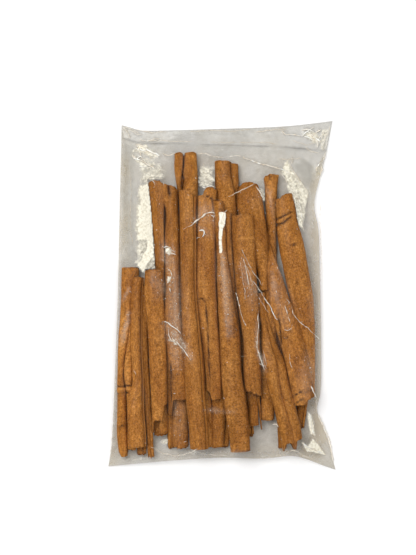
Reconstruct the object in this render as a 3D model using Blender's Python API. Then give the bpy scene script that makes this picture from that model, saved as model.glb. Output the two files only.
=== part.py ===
"""Clear film bag of cinnamon sticks, lying on its back with the filled side up.

The bag is a flat 6 by 9 inch pouch of clear film. It lies along Y with its folded mouth towards +Y.
Its solid is the outer form of the pouch with the sticks that press against the film fused on it:
each stick is a rolled quill swept along its own line, in a lower or an upper layer.
The origin is the middle of the floor under the bag.
"""

import math

import bmesh
import bpy
import numpy as np
from mathutils import Vector

MM = 0.001
NODE = "filled_bag"
SHARP_ANGLE = 35

# The outline of the filled bag seen from above, in mm, each side from one corner to the next.
CORNER_MOUTH_LEFT = (-67.6, 114.4)
CORNER_MOUTH_RIGHT = (74.5, 117.2)
CORNER_FOOT_LEFT = (-76.5, -115.6)
CORNER_FOOT_RIGHT = (76.5, -117.8)
LEFT_SIDE = [(-74.0, -97.0), (-72.2, -56.0), (-70.0, 3.5), (-68.7, 63.5)]
RIGHT_SIDE = [
    (71.4, -98.0), (66.6, -84.5), (64.2, -76.0), (66.8, -56.0), (65.8, 20.0), (64.9, 44.0), (62.4, 63.0), (69.2, 91.0),
]
FOOT_SIDE = [
    (-55.3, -113.3), (-30.0, -111.0), (-1.3, -109.2), (27.0, -109.9), (46.0, -108.2), (56.0, -110.2), (66.0, -114.0),
]
MOUTH_SIDE = [
    (-61.0, 112.6), (-54.0, 110.8), (-35.0, 110.9), (-1.3, 111.9), (27.0, 112.8), (46.0, 113.9), (62.0, 115.6),
]

# Film
FILM_SOLID = 1.0  # thickness that stands for the two flat films of the margin
CORNER_HEIGHT = 0.5  # of the underside at the four corners, above the floor
SIDE_SEAM_HEIGHT = 3.5  # of the side seams at half length, above the floor
FOOT_SEAM_HEIGHT = 7.5  # of the foot seam at its middle, where the stick ends lift it
FILM_SLOPE = 0.7  # how steeply the film falls away beside a stick
CORE_SHARE = 0.6  # of a stick's height that the film between two sticks reaches
GRID_COLUMNS = 24
GRID_ROWS = 34

# Sticks
PATH_POINTS = 6
GROOVE_HALF_WIDTH = 0.09
OUTLINE_POINTS = 12

# Each kind of quill: height over width, where the groove between its rolls lies across it, groove depth.
QUILLS = {
    "single": (0.84, 0.35, 0.12),
    "double": (0.72, -0.05, 0.42),
    "uneven": (0.70, 0.38, 0.42),
    "open": (0.52, 0.08, 0.55),
}

# Every stick, in mm, the lower layer first: name, kind, head (x, y, height of its underside), foot (the same),
# sideways bow at half length, width at the head and at the foot.
STICKS = [
    ("left_edge", "double", (-61.5, 19.0, 1.4), (-63.5, -109.0, 1.4), -2.2, 11.5, 11.5),
    ("left_under", "single", (-55.0, -3.5, 0.7), (-54.0, -108.5, 1.4), 0.0, 8.0, 6.5),
    ("left_thin", "single", (-52.5, 6.5, 4.5), (-47.5, -110.0, 5.0), -1.2, 5.5, 4.5),
    ("short_under", "single", (-40.5, -23.5, 0.7), (-41.0, -95.0, 0.7), 0.0, 8.5, 9.5),
    ("thin_under", "single", (-35.0, -10.0, 0.7), (-34.5, -104.5, 0.7), 0.0, 5.5, 4.5),
    ("left_lower", "single", (-31.0, 48.0, 0.7), (-27.5, -104.0, 0.7), 0.0, 9.0, 11.0),
    ("tall_split", "double", (-24.6, 96.0, 1.0), (-11.5, -103.0, 0.8), 0.5, 15.0, 12.5),
    ("tall_wide", "uneven", (3.0, 90.5, 1.0), (-1.5, -103.0, 0.8), 1.5, 15.8, 12.5),
    ("narrow_under", "single", (12.5, -3.5, 0.7), (19.5, -96.0, 0.7), 0.0, 6.5, 5.0),
    ("splintered", "single", (17.0, 17.0, 1.0), (21.0, -89.0, 1.5), 1.0, 8.5, 7.8),
    ("flared", "single", (33.0, 81.5, 1.0), (30.5, -84.5, 0.8), 0.0, 8.5, 10.5),
    ("right_under", "single", (38.0, 6.0, 0.7), (40.5, -104.0, 1.0), 2.0, 12.0, 8.0),
    ("right_short", "single", (49.0, 13.0, 0.7), (53.0, -90.5, 0.7), 1.0, 9.0, 6.5),
    ("crossing_left_roll", "open", (18.0, 76.0, 3.0), (28.0, 2.5, 8.0), 0.0, 16.5, 7.0),
    ("crossing", "open", (24.0, 60.5, 3.0), (55.5, -73.5, 11.0), -0.7, 7.5, 15.5),
    ("left_open", "open", (-40.0, 77.5, 2.0), (-29.0, -80.5, 8.5), -1.0, 19.5, 13.5),
    ("right_bowed", "single", (41.0, 68.0, 3.0), (56.5, -69.5, 1.0), 3.8, 13.0, 14.0),
    ("upright_long", "single", (-23.0, 70.5, 9.0), (-15.0, -103.5, 8.5), -2.2, 11.3, 13.2),
    ("left_front", "single", (-56.5, 12.5, 4.0), (-56.5, -102.5, 6.0), -1.9, 8.5, 11.5),
    ("left_jagged", "single", (-44.0, 17.5, 7.0), (-42.0, -84.5, 7.5), -0.9, 13.0, 10.0),
    ("seamed", "double", (-10.0, 72.5, 8.2), (-5.0, -70.5, 8.5), -2.2, 13.2, 11.0),
    ("centre_long", "single", (-0.5, 64.0, 10.2), (12.5, -105.0, 9.0), -1.3, 11.5, 14.0),
    ("leaning", "double", (26.0, 2.0, 9.5), (47.5, -104.0, 8.5), -1.0, 8.0, 15.0),
    ("centre_short", "single", (13.5, 54.0, 9.5), (21.5, -69.0, 8.8), 0.4, 15.2, 11.0),
]

BARK_COLOUR = (0.40, 0.165, 0.05, 1.0)
BARK_ROUGHNESS = 0.7


def clear_scene():
    for obj in list(bpy.data.objects):
        bpy.data.objects.remove(obj, do_unlink=True)


def smooth_line(points, shares):
    """Points at these shares of a Catmull-Rom curve through the given points."""
    p = np.array(points, float)
    p = np.vstack([2 * p[0] - p[1], p, 2 * p[-1] - p[-2]])
    spans = len(p) - 3
    along = np.clip(np.asarray(shares) * spans, 0, spans - 1e-9)
    i = along.astype(int)
    t = (along - i)[:, None]
    a, b, c, d = p[i], p[i + 1], p[i + 2], p[i + 3]
    return 0.5 * (2 * b + (c - a) * t + (2 * a - 5 * b + 4 * c - d) * t**2 + (3 * b - a - 3 * c + d) * t**3)


def side_line(points, shares):
    """Points at these shares of the length of the smooth line through the given points."""
    dense = smooth_line(points, np.linspace(0, 1, 400))
    passed = np.append(0, np.cumsum(np.hypot(*np.diff(dense, axis=0).T)))
    at = np.asarray(shares) * passed[-1]
    return np.stack([np.interp(at, passed, dense[:, axis]) for axis in (0, 1)], axis=1)


def bag_plan(u, v):
    """Where the flat film's point at shares u across and v up lies in the filled bag, as x and y in mm.

    A Coons patch of the four sides: the two blends between facing sides, less the blend of the corners.
    """
    left = side_line([CORNER_FOOT_LEFT, *LEFT_SIDE, CORNER_MOUTH_LEFT], v)
    right = side_line([CORNER_FOOT_RIGHT, *RIGHT_SIDE, CORNER_MOUTH_RIGHT], v)
    foot = side_line([CORNER_FOOT_LEFT, *FOOT_SIDE, CORNER_FOOT_RIGHT], u)
    mouth = side_line([CORNER_MOUTH_LEFT, *MOUTH_SIDE, CORNER_MOUTH_RIGHT], u)
    u, v = np.asarray(u)[:, None], np.asarray(v)[:, None]
    corners = (
        (1 - u) * (1 - v) * np.array(CORNER_FOOT_LEFT)
        + u * (1 - v) * np.array(CORNER_FOOT_RIGHT)
        + (1 - u) * v * np.array(CORNER_MOUTH_LEFT)
        + u * v * np.array(CORNER_MOUTH_RIGHT)
    )
    return (1 - u) * left + u * right + (1 - v) * foot + v * mouth - corners


class Stick:
    """One quill: its line seen from above, its half widths, and the height of its centre along it."""

    def __init__(self, name, kind, head, foot, bow, head_width, foot_width):
        self.name = name
        self.flat, self.groove, self.depth = QUILLS[kind]
        self.head = np.array(head[:2])
        self.run = np.array(foot[:2]) - self.head
        self.length = float(np.hypot(*self.run))
        self.way = self.run / self.length
        self.side = np.array([-self.way[1], self.way[0]])
        self.bow = bow
        self.lifts = (head[2], foot[2])
        self.widths = (head_width, foot_width)

    def half_width(self, share):
        return 0.5 * (self.widths[0] + (self.widths[1] - self.widths[0]) * share)

    def bowed(self, share):
        """Sideways shift of the centre line: a parabola that is zero at both ends."""
        return 4 * self.bow * share * (1 - share)

    def height(self, share):
        """Height of the centre: the underside's height and half the quill's own height."""
        return self.lifts[0] + (self.lifts[1] - self.lifts[0]) * share + self.flat * self.half_width(share)

    def centre(self, share):
        x, y = self.head + self.run * share + self.side * self.bowed(share)
        return Vector((x, y, self.height(share)))

    def film_over(self, places):
        """Height of the film that this stick holds up: level over it, and falling at a slope beside it."""
        offset = places - self.head
        share = np.clip(offset @ self.way / self.length, 0, 1)
        nearest = self.head + share[:, None] * self.run + self.bowed(share)[:, None] * self.side
        half = self.half_width(share)
        beside = np.clip(np.hypot(*(places - nearest).T) - 0.5 * half, 0, None)
        crest = self.height(share) + (2 * CORE_SHARE - 1) * self.flat * half
        return crest - FILM_SLOPE * beside


def bark_material():
    material = bpy.data.materials.new("cinnamon_bark")
    material.use_nodes = True
    shader = material.node_tree.nodes["Principled BSDF"]
    shader.inputs["Base Color"].default_value = BARK_COLOUR
    shader.inputs["Roughness"].default_value = BARK_ROUGHNESS
    shader.inputs["Metallic"].default_value = 0.0
    return material


def quill_outline(stick):
    """A quill's section, half a unit of width being 1: an ellipse with a groove down its upper side."""
    turns = np.linspace(0, 2 * math.pi, OUTLINE_POINTS, endpoint=False) + math.pi / OUTLINE_POINTS
    x, y = np.cos(turns), stick.flat * np.sin(turns)
    clear = (y < 0) | (np.abs(x - stick.groove) > 2 * GROOVE_HALF_WIDTH)
    x, y = x[clear], y[clear]
    groove_x = stick.groove + GROOVE_HALF_WIDTH * np.array([1.0, 0.0, -1.0])
    groove_y = stick.flat * np.sqrt(1 - groove_x**2) * np.array([1.0, 1 - stick.depth, 1.0])
    x, y = np.append(x, groove_x), np.append(y, groove_y)
    order = np.argsort(np.arctan2(y, x))
    return x[order], y[order]


def quill(stick, collection):
    """The stick's section swept along its line, as a mesh with welded caps."""
    outline = bpy.data.curves.new(stick.name + "_section", "CURVE")
    outline.dimensions = "2D"
    x, y = quill_outline(stick)
    ring = outline.splines.new("POLY")
    ring.points.add(len(x) - 1)
    ring.use_cyclic_u = True
    for point, px, py in zip(ring.points, x, y):
        point.co = (px, py, 0, 1)
    section = bpy.data.objects.new(outline.name, outline)
    bpy.context.scene.collection.objects.link(section)

    line = bpy.data.curves.new(stick.name, "CURVE")
    line.dimensions = "3D"
    line.twist_mode = "Z_UP"
    line.bevel_mode = "OBJECT"
    line.bevel_object = section
    line.use_fill_caps = True
    path = line.splines.new("POLY")
    path.points.add(PATH_POINTS - 1)
    for i, point in enumerate(path.points):
        share = i / (PATH_POINTS - 1)
        point.co = (*(stick.centre(share) * MM), 1)
        point.radius = stick.half_width(share) * MM
    swept = bpy.data.objects.new(stick.name, line)
    bpy.context.scene.collection.objects.link(swept)

    bpy.context.view_layer.update()
    graph = bpy.context.evaluated_depsgraph_get()
    mesh = bpy.data.meshes.new_from_object(swept.evaluated_get(graph))
    shape = bmesh.new()
    shape.from_mesh(mesh)
    bmesh.ops.remove_doubles(shape, verts=shape.verts, dist=0.01 * MM)
    bmesh.ops.recalc_face_normals(shape, faces=shape.faces)
    shape.to_mesh(mesh)
    shape.free()
    solid = bpy.data.objects.new(stick.name, mesh)
    solid.matrix_world = swept.matrix_world
    collection.objects.link(solid)
    bpy.data.objects.remove(swept)
    bpy.data.objects.remove(section)
    return solid


def seam_height(u, v):
    """Height of the underside of the margin: raised along the sides and the foot, and low at the corners."""
    side = (SIDE_SEAM_HEIGHT - CORNER_HEIGHT) * 4 * v * (1 - v) * np.abs(2 * u - 1) ** 3
    foot = (FOOT_SEAM_HEIGHT - CORNER_HEIGHT) * 4 * u * (1 - u) * (1 - v) ** 6
    return CORNER_HEIGHT + np.maximum(side, foot)


def pouch(sticks):
    """The film's closed form: a grid carried into the bag's outline, pulled up over the pile, with an underside."""
    shape = bmesh.new()
    bmesh.ops.create_grid(shape, x_segments=GRID_COLUMNS, y_segments=GRID_ROWS, size=0.5)
    under = list(shape.verts)
    made = bmesh.ops.extrude_face_region(shape, geom=list(shape.faces))
    upper = [item for item in made["geom"] if isinstance(item, bmesh.types.BMVert)]
    for verts, is_upper in ((upper, True), (under, False)):
        u, v = np.clip([(vert.co.x + 0.5, vert.co.y + 0.5) for vert in verts], 0, 1).T
        plan = bag_plan(u, v)
        margin = seam_height(u, v)
        over = np.max([stick.film_over(plan) for stick in sticks], axis=0)
        from_edge = np.minimum(np.minimum(u, 1 - u) * GRID_COLUMNS, np.minimum(v, 1 - v) * GRID_ROWS)
        inner = np.clip(from_edge, 0, 1)
        if is_upper:
            z = margin + FILM_SOLID + inner * np.clip(over - margin - FILM_SOLID, 0, None)
        else:
            z = margin * (1 - inner)
        for vert, (x, y), height in zip(verts, plan, z):
            vert.co = Vector((x, y, height)) * MM
    bmesh.ops.recalc_face_normals(shape, faces=shape.faces)
    mesh = bpy.data.meshes.new(NODE)
    shape.to_mesh(mesh)
    shape.free()
    return bpy.data.objects.new(NODE, mesh)


def main():
    clear_scene()
    parts = bpy.data.collections.new("bag_of_cinnamon_sticks")
    fused = bpy.data.collections.new("sticks")
    for collection in (parts, fused):
        bpy.context.scene.collection.children.link(collection)

    sticks = [Stick(*row) for row in STICKS]
    bag = pouch(sticks)
    parts.objects.link(bag)
    bag.data.materials.append(bark_material())
    for stick in sticks:
        quill(stick, fused)

    join = bag.modifiers.new("fuse", "BOOLEAN")
    join.operation = "UNION"
    join.operand_type = "COLLECTION"
    join.collection = fused
    join.solver = "EXACT"
    bpy.context.view_layer.update()
    graph = bpy.context.evaluated_depsgraph_get()
    joined = bpy.data.meshes.new_from_object(bag.evaluated_get(graph))
    bag.modifiers.remove(join)
    bag.data = joined
    for obj in list(fused.objects):
        bpy.data.objects.remove(obj)
    bpy.data.collections.remove(fused)
    joined.shade_smooth()
    joined.set_sharp_from_angle(angle=math.radians(SHARP_ANGLE))


main()
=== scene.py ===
"""Looks for the clear film bag of cinnamon sticks: rolled bark quills in two layers, under crinkled film."""

import math

import bpy
import numpy as np
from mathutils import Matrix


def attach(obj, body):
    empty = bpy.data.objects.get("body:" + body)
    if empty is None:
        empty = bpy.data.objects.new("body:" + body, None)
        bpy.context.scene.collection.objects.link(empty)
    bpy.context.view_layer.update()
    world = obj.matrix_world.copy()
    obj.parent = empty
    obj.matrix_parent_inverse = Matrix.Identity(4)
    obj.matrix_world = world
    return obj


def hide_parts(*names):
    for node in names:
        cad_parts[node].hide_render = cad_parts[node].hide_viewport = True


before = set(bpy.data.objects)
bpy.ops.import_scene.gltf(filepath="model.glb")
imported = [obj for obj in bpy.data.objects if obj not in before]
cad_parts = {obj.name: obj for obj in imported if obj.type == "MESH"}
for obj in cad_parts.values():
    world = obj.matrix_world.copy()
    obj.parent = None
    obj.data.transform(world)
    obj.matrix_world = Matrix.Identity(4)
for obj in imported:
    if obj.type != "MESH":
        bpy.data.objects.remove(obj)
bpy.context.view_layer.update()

MM = 0.001
NODE = "filled_bag"

# Quills in mm. Each has stations down its length, (y, x, width) of what shows from above, then the height of
# its underside (lift) and its height over its width (flat), both at the head and at the foot, how light its
# bark is (tint, with 0.5 in the middle), and how its bark is rolled:
#   scroll: one roll whose outer edge ends at the angle seam, as (y, degrees), with 90 up, wound turns times
#   twin: two rolls side by side that meet in a slit, the left one taking share of the width, with gap mm
#         between them, both as (y, value)
# ragged is how unevenly the head and the foot are broken. nicks are what an end lacks: which end, from and
# to which mm across from the middle, and how deep. marks are cracks, or where the depth is below 0 ridges, on
# top of the bark: a line seen from above, its half width and its depth; cracks are cut in with painted shade
# in them, and ridges are raised with a painted highlight. What a quill leaves out is as quill_arrays has it:
# a scroll of one and a half turns, its seam at 60 degrees, and 0.86 as high as wide.
UPPER_QUILLS = {
    "left_edge": dict(
        stations=[
            (19, -61.5, 11.5), (4.5, -62, 11.5), (-16, -63, 11), (-29, -64, 11.5), (-44, -65, 10.5),
            (-70.5, -64.5, 11.5), (-97, -64, 12.5), (-109, -63.5, 11),
        ],
        lift=(1.4, 1.4), flat=(0.74, 0.74), tint=0.78, form="twin", ragged=(1.0, 1.6),
        share=[(10, 0.53), (-30, 0.57), (-43, 0.46), (-56, 0.38), (-62, 0.49), (-80, 0.55), (-100, 0.52)],
        gap=[(19, -3.5), (-22, -2.6), (-30, -0.6), (-40, 0.3), (-109, 0.3)],
        nicks=[("foot", 0.4, 7, 4), ("foot", -7, -4.5, 2.5)],
        marks=[
            ([(-71, -61), (-66, -61.3), (-59, -60.5)], 0.6, 0.7), ([(-71, -63.2), (-59, -62.8)], 0.9, -0.35),
            ([(-71, -65.8), (-59, -65.2)], 0.35, 0.25), ([(-69.5, -89), (-65.5, -86.5)], 0.45, 0.5),
        ],
    ),
    "left_thin": dict(
        stations=[(6.5, -52.5, 5.5), (-37, -52, 5), (-70.5, -50, 4.5), (-110, -47.5, 4.5)],
        lift=(4.5, 5.0), flat=(0.9, 0.9), tint=0.38, ragged=(1.0, 3.0), seam=[(0, 75)],
    ),
    "left_open": dict(
        stations=[
            (77.5, -40, 19.5), (58.5, -38.5, 18.5), (33.5, -37, 17.5), (-3.5, -35.5, 15), (-33.5, -32.5, 14),
            (-70.5, -29.5, 13.5), (-80.5, -29, 13.5),
        ],
        lift=(2.0, 8.5), flat=(0.5, 0.6), tint=0.25, form="twin", ragged=(0.9, 1.4),
        share=[(77, 0.5), (56, 0.5), (40, 0.42), (22, 0.385), (3.5, 0.345), (-12, 0.24), (-80, 0.2)],
        gap=[
            (77, -6), (68, -5), (63, -2), (58, 0.8), (52, 1.5), (46, 1.2), (38, 0.5), (0, 0.3), (-15, -1.5),
            (-80, -2),
        ],
        nicks=[
            ("head", -12, -8.6, 1), ("head", -1.5, 12, 2), ("head", 0.5, 12, 1), ("head", 3.2, 12, 0.8),
            ("head", 5.9, 12, 0.9), ("head", 8.5, 12, 1.5), ("foot", -4, 9, 10),
        ],
        marks=[
            ([(-38.6, 75), (-38, 70), (-37.4, 63)], 0.3, -0.5),
            ([(-36, 74), (-35.5, 68), (-35, 62)], 0.3, 0.2),
            ([(-40, 50), (-39.8, 36), (-39.4, 20)], 0.35, -0.4),
            ([(-34.4, -44), (-33.8, -60), (-33.3, -72)], 0.45, 0.5),
        ],
    ),
    "right_bowed": dict(
        stations=[
            (68, 41, 11.5), (60.5, 42.5, 12.5), (46, 44, 14.5), (33.5, 46.5, 16.5), (14.5, 50, 16.5),
            (-6, 54, 15), (-35, 56, 13), (-69.5, 56.5, 11.5),
        ],
        lift=(3.0, 1.0), flat=(0.78, 0.78), tint=0.39, ragged=(0.9, 1.4), seam=[(0, 172)],
        nicks=[("head", -6, -2, 2.2), ("head", -2, 0.5, 0.9)],
        marks=[
            ([(36.5, 51), (41, 53), (47.5, 55.5)], 0.7, 0.7),
            ([(36, 47.5), (41, 48.7), (46, 52.5)], 0.9, 0.9),
            ([(37.5, 49.5), (42, 51.2), (47, 54.5)], 0.6, -0.5), ([(47.0, 33.2), (49.8, 33.9)], 0.9, 1.3),
            ([(46.8, 35.2), (48.6, 35.4), (50.4, 34.8)], 0.4, -0.5),
        ],
    ),
    "crossing": dict(
        stations=[
            (60.5, 24, 7.5), (42, 27, 6.5), (23.5, 32, 8), (6.5, 36.5, 11.5), (-4, 38.5, 13.5),
            (-17.5, 42.5, 15), (-32, 47, 15.5), (-47.5, 50.5, 15), (-73.5, 55.5, 14),
        ],
        lift=(3.0, 11.0), flat=(0.6, 0.52), tint=0.42, turns=1.4, ragged=(1.2, 1.6), seam=[(0, 172)],
        nicks=[("foot", 1.5, 9, 2.5), ("foot", 4.8, 9, 3)],
        marks=[
            ([(37.5, -11.5), (39, -21), (40, -31.5)], 0.5, 0.35), ([(42.8, -28), (44.2, -28)], 0.6, 0.45),
            ([(47.4, -66.8), (51.5, -64.6), (56, -65), (61, -64)], 0.45, 0.5),
            ([(48.5, -71.5), (52, -69.6), (57, -70)], 0.4, 0.3),
        ],
    ),
    "crossing_left_roll": dict(
        stations=[
            (76, 17.5, 11.5), (63.5, 18.5, 17.5), (53.5, 20, 17), (42, 22.5, 15), (30, 25, 12), (17, 27, 7),
            (2.5, 28, 5.5),
        ],
        lift=(3.0, 8.0), flat=(0.42, 0.9), tint=0.28, turns=1.4, ragged=(0.7, 1.4), seam=[(0, 190)],
        nicks=[("head", -7, -4.4, 2), ("head", 3.8, 7, 1.2)],
    ),
    "upright_long": dict(
        stations=[
            (70.5, -23, 11.5), (33.5, -22.5, 11), (3.5, -22, 10.5), (-25.5, -20.5, 12.5), (-44, -19, 13.5),
            (-70.5, -17.5, 13), (-92.5, -15.5, 13), (-103.5, -15, 12.5),
        ],
        lift=(9.0, 8.5), flat=(0.84, 0.84), tint=0.33, turns=1.6, ragged=(0.9, 0.8), seam=[(0, 40)],
        nicks=[("head", 1.8, 7, 2.2), ("head", 3.8, 7, 1.8)],
    ),
    "left_front": dict(
        stations=[
            (12.5, -56.5, 8.5), (3.5, -57, 8.5), (-37, -57.3, 8.2), (-60, -56.4, 8.2), (-72, -57.8, 11),
            (-97, -56.5, 11.5), (-102.5, -56.5, 11.5),
        ],
        lift=(4.0, 6.0), flat=(0.84, 0.84), tint=0.64, turns=1.6, ragged=(1.0, 1.0), seam=[(0, 20)],
    ),
    "left_jagged": dict(
        stations=[
            (17.5, -45.3, 12.5), (3.5, -45.7, 12.8), (-21, -44, 12), (-49.5, -42.8, 11.8), (-72, -42, 11),
            (-93, -42, 9.5),
        ],
        lift=(7.0, 7.5), flat=(0.84, 0.84), tint=0.52, ragged=(1.8, 1.6), seam=[(0, 150)],
        nicks=[("foot", -3.2, 9, 8.5), ("foot", 2.9, 9, 10)],
    ),
    "seamed": dict(
        stations=[
            (72.5, -10, 13), (30, -10.5, 12.5), (-3.5, -10, 13), (-24, -8.5, 12.5), (-43.5, -6.5, 11.5),
            (-70.5, -5, 10),
        ],
        lift=(8.2, 8.5), flat=(0.72, 0.76), tint=0.43, ragged=(0.9, 1.0),
        seam=[(72, 184), (0, 180), (-5, 138), (-30, 124), (-70, 116)],
        nicks=[
            ("head", -8, -2.6, 5.6), ("head", -2.6, -1.2, 2), ("head", 4.6, 8, 1.4), ("foot", -6, -2.6, 6),
        ],
        marks=[
            ([(-12.8, 66), (-9, 65.6), (-6.6, 64.2), (-5.8, 60), (-5.6, 54)], 0.55, 0.6),
            ([(-11.3, -4), (-9.4, -24), (-8.7, -44), (-8, -62)], 0.5, 0.3),
            ([(-15.9, -2.6), (-13.5, -2), (-11.3, -3.6)], 0.4, 0.4),
        ],
    ),
    "centre_long": dict(
        stations=[
            (64, -0.5, 11.5), (53, 0.5, 11.5), (33.5, 1.5, 11), (-2.5, 3.5, 13), (-30, 5.5, 14),
            (-50, 6.5, 14), (-69.5, 8.5, 15), (-88.5, 11, 14), (-105, 12.5, 13),
        ],
        lift=(10.2, 9.0), flat=(0.8, 0.82), tint=0.15, form="twin", ragged=(1.2, 0.5),
        share=[(64, 0.6), (28, 0.64), (0, 0.8), (-25, 0.9), (-105, 0.93)],
        gap=[(64, 0.2), (0, -1), (-105, -1.6)], nicks=[("head", 1.4, 8, 9)],
    ),
    "leaning": dict(
        stations=[
            (2, 26, 5.5), (-9.5, 27, 5.5), (-23, 30, 7), (-35, 32, 10.5), (-47.5, 35, 15), (-57.5, 37, 14.5),
            (-73, 41.5, 14), (-88.5, 45, 14.5), (-104, 47.5, 14),
        ],
        lift=(9.5, 8.5), flat=(0.72, 0.68), tint=0.21, form="twin", ragged=(1.2, 1.2),
        share=[(2, 0.6), (-54, 0.6), (-70, 0.5), (-88, 0.54), (-104, 0.58)],
        gap=[(2, 0), (-50, -1), (-104, -1.8)], nicks=[("foot", -4.8, -0.2, 4.7), ("foot", 3.3, 9, 6)],
    ),
    "centre_short": dict(
        stations=[
            (54, 13.5, 15), (33.5, 14.5, 15), (9.5, 16, 14.5), (-12, 18, 13.5), (-29.5, 19.5, 11.5),
            (-57.5, 20.5, 11.5), (-69, 21.5, 10.5),
        ],
        lift=(9.5, 8.8), flat=(0.8, 0.84), tint=0.25, turns=1.6, ragged=(0.7, 1.4), seam=[(0, 172)],
        nicks=[("foot", -7, -1, 2.6), ("foot", -7, 2, 1.6)],
        marks=[
            ([(10, 37.5), (17.5, 38), (22, 37.4)], 0.5, -0.22),
            ([(16.8, -65.4), (20, -67), (22.5, -66.6), (26, -69)], 0.5, 0.6),
        ],
    ),
}
LOWER_QUILLS = {
    "left_under": dict(
        stations=[(-3.5, -55, 8), (-108.5, -54, 6.5)],
        lift=(0.7, 1.4), tint=0.36, ragged=(1.0, 3.6),
    ),
    "short_under": dict(
        stations=[(-23.5, -40.5, 8.5), (-95, -41, 9.5)],
        lift=(0.7, 0.7), tint=0.36, ragged=(1.0, 1.6), seam=[(0, 100)],
    ),
    "thin_under": dict(
        stations=[(-10, -35, 5.5), (-104.5, -34.5, 4)],
        lift=(0.7, 0.7), tint=0.56, ragged=(1.0, 3.6), seam=[(0, 70)],
    ),
    "left_lower": dict(
        stations=[(48, -31, 9), (0, -30, 10.5), (-70.5, -28.5, 10.5), (-104, -27.5, 11)],
        lift=(0.7, 0.7), tint=0.49, ragged=(1.0, 3.6), seam=[(0, 110)],
    ),
    "tall_split": dict(
        stations=[
            (96, -24.6, 14.6), (82.5, -24, 15.2), (70.5, -23, 14), (-3.5, -17.5, 13.5), (-103, -11.5, 12.5),
        ],
        lift=(1.0, 0.8), flat=(0.72, 0.72), tint=0.6, form="twin", ragged=(0.7, 2.4),
        share=[(96, 0.42), (87, 0.41), (82, 0.34), (78, 0.36), (72, 0.24), (60, 0.3), (-100, 0.4)],
        gap=[(96, 1.2), (90, 0.5), (80, 0.3), (66, 0.2), (60, -0.4), (-100, -0.5)],
        nicks=[("head", -1.9, -0.5, 2.6)],
        marks=[([(-25.8, 93), (-26.2, 86), (-27, 79), (-27.3, 70.5)], 0.4, 0.7)],
    ),
    "tall_wide": dict(
        stations=[(90.5, 3, 15.5), (62.5, 3.5, 16), (-17, 2, 14.5), (-103, -1.5, 12.5)],
        lift=(1.0, 0.8), flat=(0.7, 0.72), tint=0.27, form="twin", ragged=(0.7, 2.0),
        share=[(88, 0.65), (76, 0.7), (69, 0.79), (60, 0.87), (50, 0.9), (-100, 0.7)],
        gap=[(90, 0), (70, -0.6), (-100, -0.6)], nicks=[("head", 3, 9, 2)],
    ),
    "narrow_under": dict(
        stations=[(-3.5, 12.5, 6.5), (-96, 19.5, 4.5)],
        lift=(0.7, 0.7), ragged=(1.0, 3.0),
    ),
    "splintered": dict(
        stations=[(17, 17, 8.5), (-66, 21, 8.5), (-91.5, 22.8, 9)],
        lift=(1.0, 1.5), tint=0.55, ragged=(1.0, 1.5), nicks=[("foot", -9, 2.3, 3), ("foot", 2.3, 3.2, 19)],
    ),
    "flared": dict(
        stations=[
            (81.5, 33, 10.5), (74.5, 33, 9), (60.5, 33, 8), (37, 33.5, 6.5), (0, 32, 11), (-50, 31, 12),
            (-72, 30.7, 9.5), (-84.5, 30.5, 8.5),
        ],
        lift=(1.0, 0.8), flat=(0.8, 0.8), tint=0.55, turns=1.4, ragged=(1.5, 1.2), seam=[(0, 176)],
        nicks=[("head", -6, -4.2, 2), ("head", -3.4, -1.6, 0.8)],
        marks=[([(28, 79.6), (31.5, 79.2), (34.5, 79.8), (38.5, 79.4)], 0.45, 0.3)],
    ),
    "right_under": dict(
        stations=[(6, 38, 10), (-20, 40.5, 13), (-60, 43, 13), (-80, 41.5, 9), (-104, 40.5, 5.5)],
        lift=(0.7, 1.0), tint=0.36, ragged=(1.0, 2.0),
        marks=[([(34.5, -19), (37.5, -31), (41.4, -43.5), (46.2, -63.6), (48, -72)], 1.3, 0.9)],
    ),
    "right_short": dict(
        stations=[(13, 49, 9), (-10, 51, 10), (-75, 54, 7), (-90.5, 53, 4)],
        lift=(0.7, 0.7), ragged=(1.0, 3.0),
    ),
}

USUAL_FLAT = (0.86, 0.86)
USUAL_SEAM = [(0, 60)]
WALL = 0.95  # thickness of the bark, mm
WALLS_A_TURN = 1.25  # walls that a scroll's radius loses in each turn
SQUARED = 2.35  # power of the section's outline: 2 is an ellipse, and more is flatter on top
TWIN_BACK = 0.12  # share of each half of a twin's bark that is its flat back
TWIN_WOUND = 430  # degrees that the rest of it goes round its roll
TWIN_TURNS = 1.9  # times that a circle of its width fits into a twin's bark
DOME = 0.7  # how far the sides of an end are worn back, mm
UPPER_FINE = (62, 1.25)  # points round the bark and mm between rings, of the quills on top
LOWER_FINE = (44, 2.2)
UPPER_FIRST, LOWER_FIRST = 1, 31  # numbers of the first quills, for their noise
INNER_SHIFT = np.array([0.0, 0.0, 5.0])  # so that the inner face has a grain of its own

# The bag's outline, in mm, as its solid has it.
CORNER_MOUTH_LEFT = (-67.6, 114.4)
CORNER_MOUTH_RIGHT = (74.5, 117.2)
CORNER_FOOT_LEFT = (-76.5, -115.6)
CORNER_FOOT_RIGHT = (76.5, -117.8)
LEFT_SIDE = [(-74.0, -97.0), (-72.2, -56.0), (-70.0, 3.5), (-68.7, 63.5)]
RIGHT_SIDE = [
    (71.4, -98.0), (66.6, -84.5), (64.2, -76.0), (66.8, -56.0), (65.8, 20.0), (64.9, 44.0), (62.4, 63.0),
    (69.2, 91.0),
]
FOOT_SIDE = [
    (-55.3, -113.3), (-30.0, -111.0), (-1.3, -109.2), (27.0, -109.9), (46.0, -108.2), (56.0, -110.2),
    (66.0, -114.0),
]
MOUTH_SIDE = [
    (-61.0, 112.6), (-54.0, 110.8), (-35.0, 110.9), (-1.3, 111.9), (27.0, 112.8), (46.0, 113.9),
    (62.0, 115.6),
]

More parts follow.
